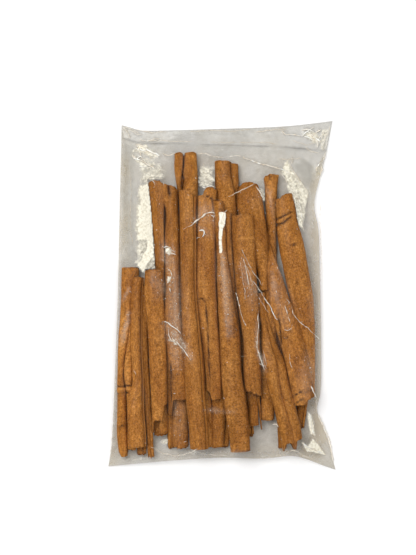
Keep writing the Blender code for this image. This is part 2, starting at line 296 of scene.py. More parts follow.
# The film, with its sizes in mm.
CORNER_HEIGHT = 0.5
SIDE_SEAM_HEIGHT = 3.5
FOOT_SEAM_HEIGHT = 7.5
FILM_WIDTH, FILM_LENGTH = 150, 230  # for the distance of a place from the edge
PLAN_WIDTH, PLAN_LENGTH = 140, 226  # the plan's mean size, for finding a place on it
FILM_COLUMNS, FILM_ROWS = 256, 386
GRID_STEP = 0.6  # between neighbouring places of the upper film
FILM_CLEARANCE = 0.55  # between the bark and the film on it
LOWEST_FILM = 0.55
FILM_SUCK = 0.012  # how far the film sags at each step
SAG_STEPS = 300
TENT_SLOPE = 0.55  # of the film beside the bark before it sags
EDGE_SLOPE = 2.2  # steepest rise of the film from its edge
FALL = 9  # how far from the edge the lower film meets the floor
FLOOR_GAP = 0.12  # between the lower film and the floor
FOLD_STEP = 0.4  # between the rings of a fold
# specks are small white slivers that stand for painted glints on the film
GLINT_SPECKS = 1300  # small creases that glitter, over the whole film

# What shows on the upper film, in mm seen from above. Folds are raised creases with a painted highlight
# along them: a line, its half width and how strong the painted highlight is.
GLINT_FOLDS = [
    ([(-57.5, 101.5), (-53, 100), (-48, 97), (-44, 95), (-42, 93.5)], 0.75, 1.0),
    ([(-58.5, 100), (-55.5, 96.5), (-54.5, 93), (-51.5, 91)], 0.5, 0.9),
    ([(-55.5, 100), (-51.5, 96), (-48, 93), (-46, 92)], 0.35, 0.8),
    ([(-60.5, 95), (-59.5, 92.5), (-57.5, 91.5), (-55.5, 93), (-53.5, 92)], 0.6, 1.0),
    ([(-57.5, 92), (-53, 90), (-49, 87), (-45.5, 85)], 0.6, 0.95),
    ([(-56.5, 87), (-51.5, 86.5), (-47.5, 85)], 0.45, 0.85),
    ([(-50.5, 104), (-46, 105), (-42, 105)], 0.4, 0.9),
    ([(-63, 112), (-59.5, 109.5), (-56.5, 108), (-53.5, 108)], 0.5, 0.9),
    ([(-66.5, 88.5), (-65, 86), (-65, 82)], 0.3, 0.8), ([(-53, 97), (-50, 95.5), (-46.5, 96)], 0.25, 0.7),
    ([(-58.1, 101.8), (-54.7, 98), (-48, 96.3), (-41.9, 94)], 0.9, 1.0),
    ([(-53.6, 101.3), (-49.7, 97.4), (-45.8, 95.1)], 0.8, 1.0),
    ([(-60.3, 94.6), (-58.1, 92.3), (-53.6, 90.1), (-44.7, 85.1)], 0.7, 1.0),
    ([(-55.8, 105.2), (-50.3, 103.5), (-42.4, 104.7)], 0.35, 0.8),
    ([(-66.5, 110.8), (-64.8, 113), (-59.2, 111.4), (-55.8, 108.5)], 0.45, 0.8),
    ([(-40, 95.5), (-36, 94), (-31.5, 95)], 0.5, 0.75),
    ([(-16, 95), (-11.5, 95), (-5.5, 93), (1, 92)], 0.4, 0.6),
    ([(4.5, 93), (9, 93.5), (13.5, 93)], 0.45, 0.7),
    ([(13.5, 93), (20, 90.5), (27, 88), (34.5, 86), (43, 83.5)], 0.6, 0.9),
    ([(40, 111), (43, 108), (49, 108), (53.5, 107), (55.5, 109), (62.5, 113.5)], 0.5, 0.95),
    ([(57.5, 110.5), (61, 108), (64.5, 105), (67, 103)], 0.7, 1.0),
    ([(69, 110.5), (66.5, 105), (63.5, 100)], 0.6, 1.0), ([(59.5, 106), (63, 109), (67, 112)], 0.6, 1.0),
    ([(58.5, 108.5), (62, 105.5), (64.5, 102)], 0.35, 0.9),
    ([(71, 97), (67, 91), (64.5, 87), (63.5, 84), (65.5, 81)], 0.45, 0.95),
    ([(63.5, 85), (66.5, 86.5), (67.5, 84), (65, 81)], 0.5, 0.95),
    ([(72, 111), (69.5, 105), (67, 98.5)], 0.3, 0.8),
    ([(53.6, 110.8), (57.5, 111.6), (62.5, 109.7)], 0.8, 1.0),
    ([(54.7, 107.4), (60.3, 105.2), (64.8, 101.8), (63.7, 99)], 0.6, 1.0),
    ([(67, 108.5), (64.8, 104.1), (64.2, 98.5)], 0.55, 1.0),
    ([(72.6, 114.1), (71.5, 106.3), (69.8, 97.4)], 0.35, 0.75),
    ([(70, 94.6), (67, 89.6), (63.7, 85.1)], 0.5, 0.9), ([(66.6, 91.8), (67, 85.1), (65.5, 80.6)], 0.4, 0.8),
    ([(38, 91.8), (44.7, 91.3), (53.6, 92.5)], 0.3, 0.55), ([(56, 100), (60, 97), (66, 95.5)], 0.3, 0.6),
    ([(45, 90), (47.5, 85), (51.5, 79), (56.5, 70.5), (58.5, 65)], 0.35, 0.8),
    ([(38, 84.5), (42, 78.5), (47, 70.5), (51, 61)], 0.3, 0.7),
    ([(42, 84), (48, 80), (52, 75), (54, 69)], 0.3, 0.85), ([(50, 66), (53, 58), (54, 48)], 0.35, 0.8),
    ([(47, 95), (47.5, 90), (45.5, 86)], 0.3, 0.6),
    ([(-49, 80), (-48.5, 77.5), (-46, 76), (-44.5, 73)], 0.3, 0.8),
    ([(-13.5, 72.5), (-10.5, 70.5)], 0.7, 0.85), ([(-11.5, 71.5), (-8, 73), (-4, 71.5)], 0.5, 0.75),
    ([(22.5, 73), (25.5, 69), (27, 65.5)], 0.7, 0.6), ([(4, 65.5), (12, 69.5), (22, 75)], 0.35, 0.5),
    ([(9, 68.5), (14, 70), (18, 73)], 0.25, 0.4), ([(-26, 44), (-21.5, 46), (-18, 48.5)], 0.3, 0.85),
    ([(-19.5, 47.5), (-15, 51), (-11, 54), (-6.5, 55), (-5, 54.5)], 0.7, 1.0),
    ([(-8, 53.5), (-6, 52.5), (-5.5, 51)], 0.4, 0.95),
    ([(-15.5, 42.5), (-12.5, 43), (-12, 40.5), (-13.5, 38.5)], 0.6, 0.95),
    ([(-17.5, 37.5), (-15.5, 38.5), (-14, 37.5)], 0.35, 0.85),
    ([(3.5, 57), (0.5, 53.5), (-1, 47)], 0.3, 0.7), ([(14.1, 24.8), (16.1, 16.8), (18.1, 3.4)], 0.3, 0.5),
    ([(12, 23), (13.5, 12), (15, 4), (15.5, -3)], 0.22, 0.45),
    ([(19.4, 16.8), (22, 13.5), (24.1, 10.7), (26.8, 6)], 0.4, 0.75),
    ([(16, 20), (19, 12), (21, 6)], 0.25, 0.6), ([(12.5, 31), (16, 24), (20, 17)], 0.22, 0.4),
    ([(20, 10), (24.5, 4), (27, 1.5)], 0.45, 0.8),
    ([(25.5, 2), (30.8, -5.4), (34.8, -13.4), (36.9, -16.8)], 0.4, 0.9),
    ([(24, -1), (28.5, -8), (31.5, -12.5)], 0.2, 0.5),
    ([(9.5, 2), (10.7, -3.4), (13.4, -15.4), (16.1, -20.8)], 0.35, 0.6),
    ([(42.2, -2), (44.9, -4.7), (44.2, -6.7)], 0.3, 0.85),
    ([(41.5, -6.7), (43.6, -12.7), (45.6, -18.8)], 0.3, 0.7),
    ([(46.2, -7.4), (47.6, -12.1), (50.9, -16.8), (55.6, -20.8), (59, -23.5), (65.7, -30.2)], 0.3, 0.75),
    ([(40.9, -22.8), (44.2, -23.5), (47.6, -21.4)], 0.25, 0.6),
    ([(45.2, -40.2), (45.6, -45.6), (47.6, -49.6)], 0.3, 0.6),
    ([(24, -12), (24.2, -22), (23.2, -30), (23.8, -37), (26.5, -45), (28.5, -50)], 0.42, 0.75),
    ([(27.5, -36), (29, -44), (30, -47)], 0.2, 0.5), ([(24, -45), (26.5, -47), (29.5, -47.5)], 0.3, 0.7),
    ([(12.5, -40.5), (16, -41)], 0.2, 0.4), ([(59.6, -60.3), (61, -64.5), (63.5, -69)], 0.5, 0.85),
    ([(-38.9, -17.4), (-36.2, -18.4), (-33, -21), (-29.5, -23.5), (-27, -26.5)], 0.42, 0.9),
    ([(-35.8, -22.8), (-35, -27), (-34, -30.5), (-32.5, -30.2)], 0.4, 0.85),
    ([(-33.5, -29), (-28.5, -33.5), (-22, -41.5)], 0.4, 0.7), ([(-35.5, 5), (-34, 1.5)], 0.4, 0.7),
    ([(-36, 17.5), (-34.5, 16), (-33.5, 12)], 0.5, 0.9),
    ([(-59.3, -50.2), (-58, -52), (-57.6, -53.6)], 0.35, 0.8),
    ([(58.5, -78.5), (59.5, -84), (60.5, -89), (61.5, -94)], 0.6, 0.9),
    ([(54, -98.5), (57.5, -102), (63, -104.5), (68, -107)], 0.6, 0.95),
    ([(64.6, -80.4), (69, -90), (72.8, -101), (75, -113)], 0.7, 0.7),
    ([(60.5, -63), (63.5, -72), (64, -80)], 0.4, 0.5), ([(60, -92), (64.5, -99.5), (69.5, -107)], 0.3, 0.4),
    ([(-48, -101.5), (-40, -106), (-30, -108), (-22, -105.5), (-16, -102.2)], 0.35, 0.6),
    ([(-16, -104), (-11.5, -106.5), (4, -107.5)], 0.3, 0.5),
    ([(36, -107.6), (41.3, -107.4), (46, -103.6), (49.6, -104.2), (54, -107.6), (62, -111)], 0.4, 0.55),
    ([(33.5, -86.5), (36, -86.5), (37.5, -88.5)], 0.6, 0.9),
    ([(-42, -98), (-39, -99), (-37, -98.5)], 0.5, 0.85),
    ([(-66.8, 104), (-68.3, 60), (-69.6, 5), (-71, -48)], 0.22, 0.4),
    ([(-65.5, 112.5), (-63, 108), (-61.5, 105.5)], 0.35, 0.6),
    ([(-58, 111.3), (-48, 109.6), (-36, 110)], 0.3, 0.45),
    ([(-22, 110.2), (-8, 110.8), (8, 110.6), (20, 111.8)], 0.28, 0.42),
    ([(22, 109.4), (32, 111), (44, 112)], 0.32, 0.55),
    ([(47, 104.5), (53, 102), (58, 101.2), (62, 102.4)], 0.3, 0.5),
    ([(-52, 103.8), (-44, 104), (-34, 103.4), (-20, 103.2)], 0.3, 0.35),
    ([(-8, 103), (6, 102.6), (22, 102.8), (38, 102)], 0.3, 0.35),
    ([(-62, 84), (-61.2, 70), (-61.8, 52), (-60.4, 34)], 0.22, 0.35),
    ([(66.5, 62), (65.8, 48), (66.8, 30), (66.2, 8)], 0.25, 0.4),
    ([(-39.6, 31.5), (-36.5, 32.4), (-33.4, 31)], 0.4, 0.9),
    ([(-37.2, 29.4), (-34, 30.2), (-31, 28.2)], 0.35, 0.85),
    ([(-36.4, 26.4), (-33.4, 27.4), (-30.6, 26.8)], 0.3, 0.8),
    ([(-71.5, -52), (-73, -80), (-75, -108)], 0.22, 0.4),
]
# Patches of film, each an outline, how soft its edge is and its strength: creamy patches beside the quills, a
# painted reflection of the lamps on slack film; glares, painted reflections that lie over the quills too; and
# patches of painted shade on the film.
CREAM_GLARES = [
    ([
        (-55.9, 73), (-44, 76), (-40, 60), (-40, 30), (-44, 30), (-49, 36), (-57.4, 37), (-56.4, 53.6),
    ], 4.8, 1.22),
    ([(-57.4, 40), (-40, 40), (-40, 14), (-48, 11), (-54.6, 16), (-58.6, 20.4)], 4.0, 0.62),
    ([(-57.5, 19), (-53, 14.5), (-46.8, 26), (-43, 38), (-48.5, 38), (-52, 29)], 1.6, 1.1),
    ([(-57, 90.5), (-46, 92), (-38, 84), (-38, 76), (-44, 74.7), (-55.9, 71.7)], 7.0, 0.58),
    ([
        (-57.6, 101.2), (-50.3, 101.8), (-48.2, 98.5), (-42.2, 93.8), (-42.9, 91.8), (-49.6, 93.1),
        (-56.3, 97.2),
    ], 2.0, 0.74),
    ([
        (-61, 95.1), (-57, 91.8), (-50.9, 88.4), (-44.9, 85.1), (-48.2, 83.8), (-54.9, 87.1), (-59.6, 90.5),
    ], 2.0, 0.68),
    ([
        (44.7, 91.8), (46.9, 85.1), (52.3, 78.4), (58.1, 70.4), (57, 60.3), (55.6, 51.6), (54.2, 43),
        (50, 50), (46, 64), (44, 72), (43.5, 77.1), (39.9, 83.1), (41.5, 86.4),
    ], 2.4, 0.78),
    ([(48.5, 76), (52.5, 74.5), (57, 70), (54.5, 60), (52, 58), (50, 66)], 4.0, 0.86),
    ([(-16, 88), (-10, 86), (-4.5, 88), (-4.5, 74), (-7.5, 72), (-14, 70), (-16, 77)], 5.0, 0.62),
    ([(24.6, 73.7), (29, 70.4), (29, 62), (25, 66)], 1.5, 0.66),
    ([(-59, 102), (-50, 100), (-41, 94), (-46, 84), (-56, 86), (-61, 93)], 6.0, 0.45),
    ([(-72, -112.5), (-62, -108.5), (-50, -107), (-38, -107), (-46, -110), (-60, -112.5)], 3.0, 0.34),
    ([(-32, -105), (-20, -102.5), (-12, -105.5), (-22, -107)], 2.5, 0.4),
]
GLARES = [
    ([
        (-1.9, 55.2), (2.8, 54.8), (2.2, 50), (0.8, 44), (0.1, 38), (-0.4, 28), (-1.8, 28), (-2.1, 38),
        (-2.2, 47),
    ], 0.8, 1.15),
    ([(-38.2, 32.8), (-34.2, 32.4), (-32.8, 28.8), (-30.5, 27.5), (-33.5, 26.6), (-37, 29.2)], 2.2, 0.62),
    ([(-38.6, 31.4), (-35.2, 32), (-34.2, 29), (-35.4, 26.8), (-38, 28)], 1.2, 0.82),
    ([(-36.8, 12.7), (-33.5, 12.7), (-33.5, 8), (-36.8, 8)], 1.5, 0.6),
    ([(-36.5, -29.5), (-32.8, -28.5), (-28.1, -33.5), (-25.5, -37.5), (-30.8, -34.2)], 2.6, 0.42),
    ([(-39.9, -17.4), (-36.2, -17.2), (-34, -19.4), (-36, -20)], 1.6, 0.6),
    ([(57, -77.5), (59.5, -80), (61.5, -87), (63, -95), (59, -93), (57.5, -85)], 1.2, 0.95),
    ([(53, -98), (57.5, -101), (61, -96.5), (65, -101), (70, -108), (63, -106), (57, -105)], 1.4, 1.1),
    ([(53.6, 107.9), (59, 111.2), (64.3, 109.2), (67, 103.9), (63, 101.2), (58.3, 104.5)], 2.6, 0.7),
    ([(67, 111.5), (72, 112.5), (71, 104), (69.5, 97), (66.5, 98), (66, 105)], 2.0, 0.5),
    ([(63, 87), (68, 87), (67.5, 80), (63.5, 80)], 1.5, 0.66),
    ([(-41.5, -96.5), (-35.5, -96.5), (-37, -101), (-41, -100)], 2.0, 0.72),
]
# Patches of painted shade on the film.
SHADE_PATCHES = [
    ([(-66.5, 103), (-59, 101), (-58.6, 60), (-59, 20), (-64, 18), (-67, 60)], 2.0, 0.36),
    ([(49, 87), (58.5, 70.5), (61, 58), (63.5, 61), (64.5, 77), (61, 87), (54.5, 93)], 3.5, 0.45),
    ([(60, 59), (64, 58), (67, 20), (67.5, -20), (65, -60), (63, -60)], 3.0, 0.25),
    ([(-20, -104), (20, -104), (50, -103), (60, -112), (-20, -112)], 3.0, 0.32),
    ([(-62, 100), (72, 98), (72, 95.5), (-62, 97.5)], 3.0, 0.22),
    ([(-20, 111), (20, 112), (22, 109), (-18, 108)], 3.0, 0.2),
]
# Places with a painted sheen on the film: a line, its half width and strength.
SHEEN_LINES = [
    ([(-36, 30), (-33, 10), (-31, -10), (-30, -30), (-29, -45)], 5.0, 0.2),
    ([(-38, -20), (-30, -28), (-22, -41)], 2.6, 0.42), ([(-36, 28), (-35, 22), (-35, 16)], 3.4, 0.22),
    ([(-45, 12), (-41, 6), (-39, -2)], 4.0, 0.18), ([(0, 26), (2, 8), (4, -15), (5, -25)], 3.2, 0.2),
    ([(14, 22), (17, 10), (20, 0), (22, -8)], 4.0, 0.13), ([(-0.9, 28.5), (0, 18), (1.4, 6)], 1.0, 0.36),
    ([(18, 8), (22, 2), (25, -2)], 2.4, 0.22), ([(-18, 52), (-10, 55), (-4, 50)], 5.0, 0.12),
    ([(-14, 45), (-8, 40)], 3.0, 0.12), ([(-29, -76), (-28, -86), (-28, -98)], 4.0, 0.12),
    ([(-12, -77), (0, -77), (8, -78)], 1.6, 0.14), ([(58, -40), (57, -65)], 5.0, 0.14),
    ([(60, 10), (61, -20)], 3.0, 0.1), ([(-62, -12), (-65, -22), (-68, -33)], 1.4, 0.3),
    ([(-62, 4), (-67.5, -5)], 1.2, 0.25), ([(34, 20), (40, 0), (46, -20)], 5.0, 0.08),
    ([(24, -16), (23.6, -30), (24.5, -40), (28.5, -50)], 1.5, 0.3),
    ([(-37, -27), (-30, -33), (-22, -42)], 3.4, 0.16), ([(22, 62), (28, 66), (33, 60)], 5.0, 0.08),
]
MOUTH_FOLD = [
    (-66.5, 105.5), (-58, 103), (-50, 102), (-35, 102), (-11, 101), (17, 100.5), (36, 100), (52, 98.8),
    (71, 97),
]
# Creases raised a little and darkened with painted shade: a line, its half width and strength.
SHADED_CREASES = [
    (MOUTH_FOLD, 0.85, 0.85),
    ([(-38, 106.5), (-33, 107.6), (-27, 106.3), (-20, 107.8), (-14, 106.5)], 0.8, 0.3),
    ([(-12, 107), (-5, 109), (2, 107.5), (10, 108.5), (18, 107)], 0.8, 0.26),
    ([(-25, 109.5), (-17, 108.6), (-8, 110)], 0.7, 0.22),
    ([(20, 106), (28, 108.5), (36, 107), (44, 110)], 0.8, 0.24),
    ([(-60, 106), (-52, 106.8), (-45, 105.6)], 0.8, 0.24),
    ([(-64.5, 101), (-65.5, 60), (-66.5, 22)], 1.0, 0.16),
    ([(-59.5, 99), (-60, 60), (-60.8, 22)], 0.8, 0.14),
    ([(62, 96), (58.5, 88), (59.5, 78), (61, 66)], 1.4, 0.26), ([(54, 93), (58, 86), (61.5, 74)], 1.0, 0.2),
    ([(65.5, 40), (66.3, 5), (66.8, -30), (66.2, -60)], 0.9, 0.25),
    ([(-20, -105.5), (0, -107.5), (20, -107), (36, -105.5)], 1.1, 0.24),
    ([(-70, -112.5), (-45, -109.6), (-20, -107.8)], 1.0, 0.22),
    ([(-50, -112.2), (-30, -110.4), (-8, -108.8), (14, -108.8)], 0.9, 0.34),
    ([(66, -88), (69, -97), (73, -109)], 0.9, 0.22), ([(50, -101), (56, -107), (66, -112)], 1.2, 0.22),
]

# Colours, as linear red, green and blue.
WHITE = (1.0, 1.0, 1.0)
BARK_DARK, BARK, BARK_PALE = (0.287, 0.103, 0.017), (0.370, 0.143, 0.025), (0.452, 0.190, 0.040)
# bark pits, then painted shade in cracks; painted highlight on ridges, then the inner face
PIT, CRACK_SHADE = (0.15, 0.050, 0.012), (0.045, 0.016, 0.006)
RIDGE_HIGHLIGHT, BARK_INSIDE = (0.66, 0.30, 0.07), (0.15, 0.055, 0.016)
# the film's own clear colour, then the colour of its painted shade
CLEAR, SHADE_GREY = (0.86, 0.85, 0.80), (0.36, 0.355, 0.315)
# colours of painted shade in creases, and of the painted sheen
CREASE_SHADE, SHEEN = (0.20, 0.195, 0.18), (0.80, 0.68, 0.54)
# creamy colours of the painted glare, from dark to pale
GLARE_DARK, GLARE_MID, GLARE_PALE = (0.72, 0.66, 0.51), (0.86, 0.81, 0.66), (0.97, 0.92, 0.77)
# painted highlight colours of the folds and specks, from dim to full
GLINT_DIM, GLINT_BRIGHT = (1.0, 0.82, 0.58), (1.0, 1.0, 0.95)
# the lower film's painted shade, and its painted reflection of the bark
BACK_SHADE, BACK_BARK_REFLECTION = (0.265, 0.235, 0.17), (0.415, 0.33, 0.19)
FLOOR = (0.96, 0.96, 0.96)

FLOOR_SIDE, FLOOR_DROP = 6.0, -0.0003  # m
SKY_STRENGTH = 0.56
CAMERA_HEIGHT = 1.6  # m
BARK_HEIGHT = 0.010  # of what the picture's scale is right for, m
VIEW_LENGTH = 0.37185  # of floor from the top to the bottom of the picture, m
VIEW_MIDDLE = (-0.00938, 0.01173)
SENSOR = 36.0


def ease(t):
    """Cubic ease: three squares less two cubes."""
    return t * t * (3 - 2 * t)


def hashed(seed, a, b):
    """Evenly spread numbers from 0 to 1 for whole-number places: the fraction of a large scaled sine."""
    wave = np.sin(a * 127.1 + b * 311.7 + seed * 74.7) * 43758.5453
    return wave - np.floor(wave)


def ripple(seed, a, b):
    """Smooth noise from -1 to 1: values at whole-number corners, blended by a cubic ease between them."""
    a, b = np.broadcast_arrays(np.asarray(a, float), np.asarray(b, float))
    ia, ib = np.floor(a), np.floor(b)
    fa, fb = ease(a - ia), ease(b - ib)
    low = hashed(seed, ia, ib) * (1 - fa) + hashed(seed, ia + 1, ib) * fa
    high = hashed(seed, ia, ib + 1) * (1 - fa) + hashed(seed, ia + 1, ib + 1) * fa
    return 2 * (low * (1 - fb) + high * fb) - 1


def smooth_line(points, shares):
    """Points at these shares of a Catmull-Rom curve through the given points."""
    p = np.array(points, float)
    p = np.vstack([2 * p[0] - p[1], p, 2 * p[-1] - p[-2]])
    spans = len(p) - 3
    along = np.clip(np.asarray(shares) * spans, 0, spans - 1e-9)
    i = along.astype(int)
    t = (along - i)[:, None]
    a, b, c, d = p[i], p[i + 1], p[i + 2], p[i + 3]
    return 0.5 * (2 * b + (c - a) * t + (2 * a - 5 * b + 4 * c - d) * t**2 + (3 * b - a - 3 * c + d) * t**3)


def eased(at, knots, values):
    """Cubic Hermite curve through (knots, values), with the slope at each knot the mean of its two spans."""
    knots, values = np.asarray(knots, float), np.asarray(values, float)
    slopes = np.gradient(values, knots)
    i = np.clip(np.searchsorted(knots, at) - 1, 0, len(knots) - 2)
    step = knots[i + 1] - knots[i]
    t = np.clip((at - knots[i]) / step, 0, 1)
    rise = values[i + 1] - values[i]
    bend_in, bend_out = slopes[i] * step, slopes[i + 1] * step
    bend = 3 * rise - 2 * bend_in - bend_out + t * (bend_in + bend_out - 2 * rise)
    return values[i] + t * (bend_in + t * bend)


def distance_to(line, x, y):
    """Distance from each place to a broken line, and the share of the line's length at its nearest point."""
    points = np.array(line, float)
    steps = np.hypot(*np.diff(points, axis=0).T)
    total, passed = steps.sum(), 0.0
    nearest, share = np.full(x.shape, 1e9), np.zeros(x.shape)
    for (ax, ay), (bx, by), step in zip(points[:-1], points[1:], steps):
        t = np.clip(((x - ax) * (bx - ax) + (y - ay) * (by - ay)) / step**2, 0, 1)
        d = np.hypot(x - ax - t * (bx - ax), y - ay - t * (by - ay))
        closer = d < nearest
        nearest = np.where(closer, d, nearest)
        share = np.where(closer, (passed + t * step) / total, share)
        passed += step
    return nearest, share


def bell(near, half):
    """1 on a line, falling off to both sides as a bell curve that is half wide."""
    return np.exp(-((near / half) ** 2))


def faded(share, rate):
    """1 along a line, falling to 0 at both of its ends, over one part in rate of its length."""
    return np.clip(rate * share, 0, 1) * np.clip(rate * (1 - share), 0, 1)


def link_object(name, data):
    """A new object in the scene."""
    obj = bpy.data.objects.new(name, data)
    bpy.context.scene.collection.objects.link(obj)
    return obj


def mesh_piece(name, places, quads, **attributes):
    """A mesh object from arrays of places (in mm) and of quads, with named vectors or numbers per vertex."""
    mesh = bpy.data.meshes.new(name)
    mesh.vertices.add(len(places))
    mesh.vertices.foreach_set("co", (places * MM).astype(np.float32).ravel())
    mesh.loops.add(quads.size)
    mesh.loops.foreach_set("vertex_index", quads.astype(np.int32).ravel())
    mesh.polygons.add(len(quads))
    mesh.polygons.foreach_set("loop_start", np.arange(0, quads.size, 4, dtype=np.int32))
    mesh.polygons.foreach_set("use_smooth", np.ones(len(quads), bool))
    mesh.update(calc_edges=True)
    for key, values in attributes.items():
        kind, field = ("FLOAT_VECTOR", "vector") if values.ndim == 2 else ("FLOAT", "value")
        layer = mesh.attributes.new(key, kind, "POINT")
        layer.data.foreach_set(field, values.astype(np.float32).ravel())
    return link_object(name, mesh)


def joined_piece(name, parts):
    """Parts, each places, quads and a dictionary of attributes, as one mesh."""
    starts = np.cumsum([0] + [len(places) for places, _, _ in parts])
    places = np.concatenate([part[0] for part in parts])
    quads = np.concatenate([part[1] + start for part, start in zip(parts, starts)])
    attributes = {key: np.concatenate([part[2][key] for part in parts]) for key in parts[0][2]}
    return mesh_piece(name, places, quads, **attributes)


def tube_quads(rings, around):
    """The numbers of a tube's vertices, a row for each ring, and the quads from each ring to the next."""
    ids = np.arange(rings * around).reshape(rings, around)
    near, far = ids[:-1], ids[1:]
    quads = np.stack([near, np.roll(near, -1, axis=1), np.roll(far, -1, axis=1), far], axis=-1)
    return ids, quads.reshape(-1, 4)


def outward(places, quads):
    """Closed quads, turned round where the volume inside them is negative, so that they face outwards."""
    a, b, c, d = (places[quads[:, k]] for k in range(4))
    volume = np.einsum("ij,ij->i", a, np.cross(b, c)).sum() + np.einsum("ij,ij->i", a, np.cross(c, d)).sum()
    return quads[:, ::-1] if volume < 0 else quads


def shape_at(y, stations, lift, flat):
    """A quill's middle, width, underside height and flatness at y, from its stations and its two ends."""
    ys, xs, widths = np.array(stations, float)[::-1].T
    y = np.clip(y, ys[0], ys[-1])
    down = (ys[-1] - y) / (ys[-1] - ys[0])
    under, flatness = (head + (foot - head) * down for head, foot in (lift, flat))
    return eased(y, ys, xs), eased(y, ys, widths), under, flatness


def at_stations(y, pairs):
    """A value given as (y, value) pairs from head to foot, at y."""
    return np.interp(y, [p[0] for p in pairs][::-1], [p[1] for p in pairs][::-1])


def squared(angle):
    """Radius at an angle of a circle that is squared a little: the powers of its x and y add up to 1."""
    return (np.abs(np.cos(angle)) ** SQUARED + np.abs(np.sin(angle)) ** SQUARED) ** (-1 / SQUARED)


def scroll_section(s, width, turns, seam):
    """Middle of the wall of a single roll, and how much it faces sideways: s from 0 at its outer edge to 1.

    A spiral: the angle starts at the seam and goes round clockwise turns times, and the radius is half the
    width less what the walls of each turn take up, times what makes a circle a slightly squared one.
    """
    angle = np.radians(seam) - 2 * np.pi * turns * s
    radius = np.maximum(0.5 * width - WALLS_A_TURN * WALL * turns * s, 0.2 * width) * squared(angle)
    return radius * np.cos(angle), radius * np.sin(angle), np.abs(np.cos(angle))


def twin_section(s, width, share, gap):
    """Middle of the wall of two rolls joined by a back: s from 0 to 0.5 is the left roll, 0.5 to 1 the right.

    Each half leaves the middle of the back, goes straight to below its roll's centre, then 430 degrees round
    it: outside, over the top, down into the slit and inwards. Past the top its radius falls to 1.3 walls
    less, and then by 1.2 walls a turn. Both rolls are squared as a scroll is, and stand on the back. Where
    the gap is below 0 they run into each other, so that the slit is a shallow groove.
    """
    hand = np.where(s < 0.5, -1.0, 1.0)
    out = np.abs(2 * s - 1)
    radius = np.maximum(0.5 * (width - gap) * np.where(hand < 0, share, 1 - share), 0.5)
    centre = hand * (0.5 * width - radius)
    angle = np.radians(-90 + TWIN_WOUND * np.clip((out - TWIN_BACK) / (1 - TWIN_BACK), 0, 1))
    past_top = np.clip((angle - np.radians(110)) / np.radians(150), 0, 1)
    wound = np.clip((angle - np.radians(260)) / (2 * np.pi), 0, None)
    reach = np.maximum(radius - 1.3 * WALL * past_top - 1.2 * WALL * wound, 0.25 * radius) * squared(angle)
    middle = (share - 0.5) * (width - gap)
    back = out < TWIN_BACK
    x = np.where(back, middle + (centre - middle) * out / TWIN_BACK, centre + hand * reach * np.cos(angle))
    z = radius + np.where(back, -radius, reach * np.sin(angle))
    return x, z, np.where(back, 0, np.abs(np.cos(angle)))


def fitted(values, size):
    """Each row moved and scaled to run from minus to plus half of size."""
    low, high = values.min(axis=1, keepdims=True), values.max(axis=1, keepdims=True)
    return ((values - low) / (high - low) - 0.5) * size


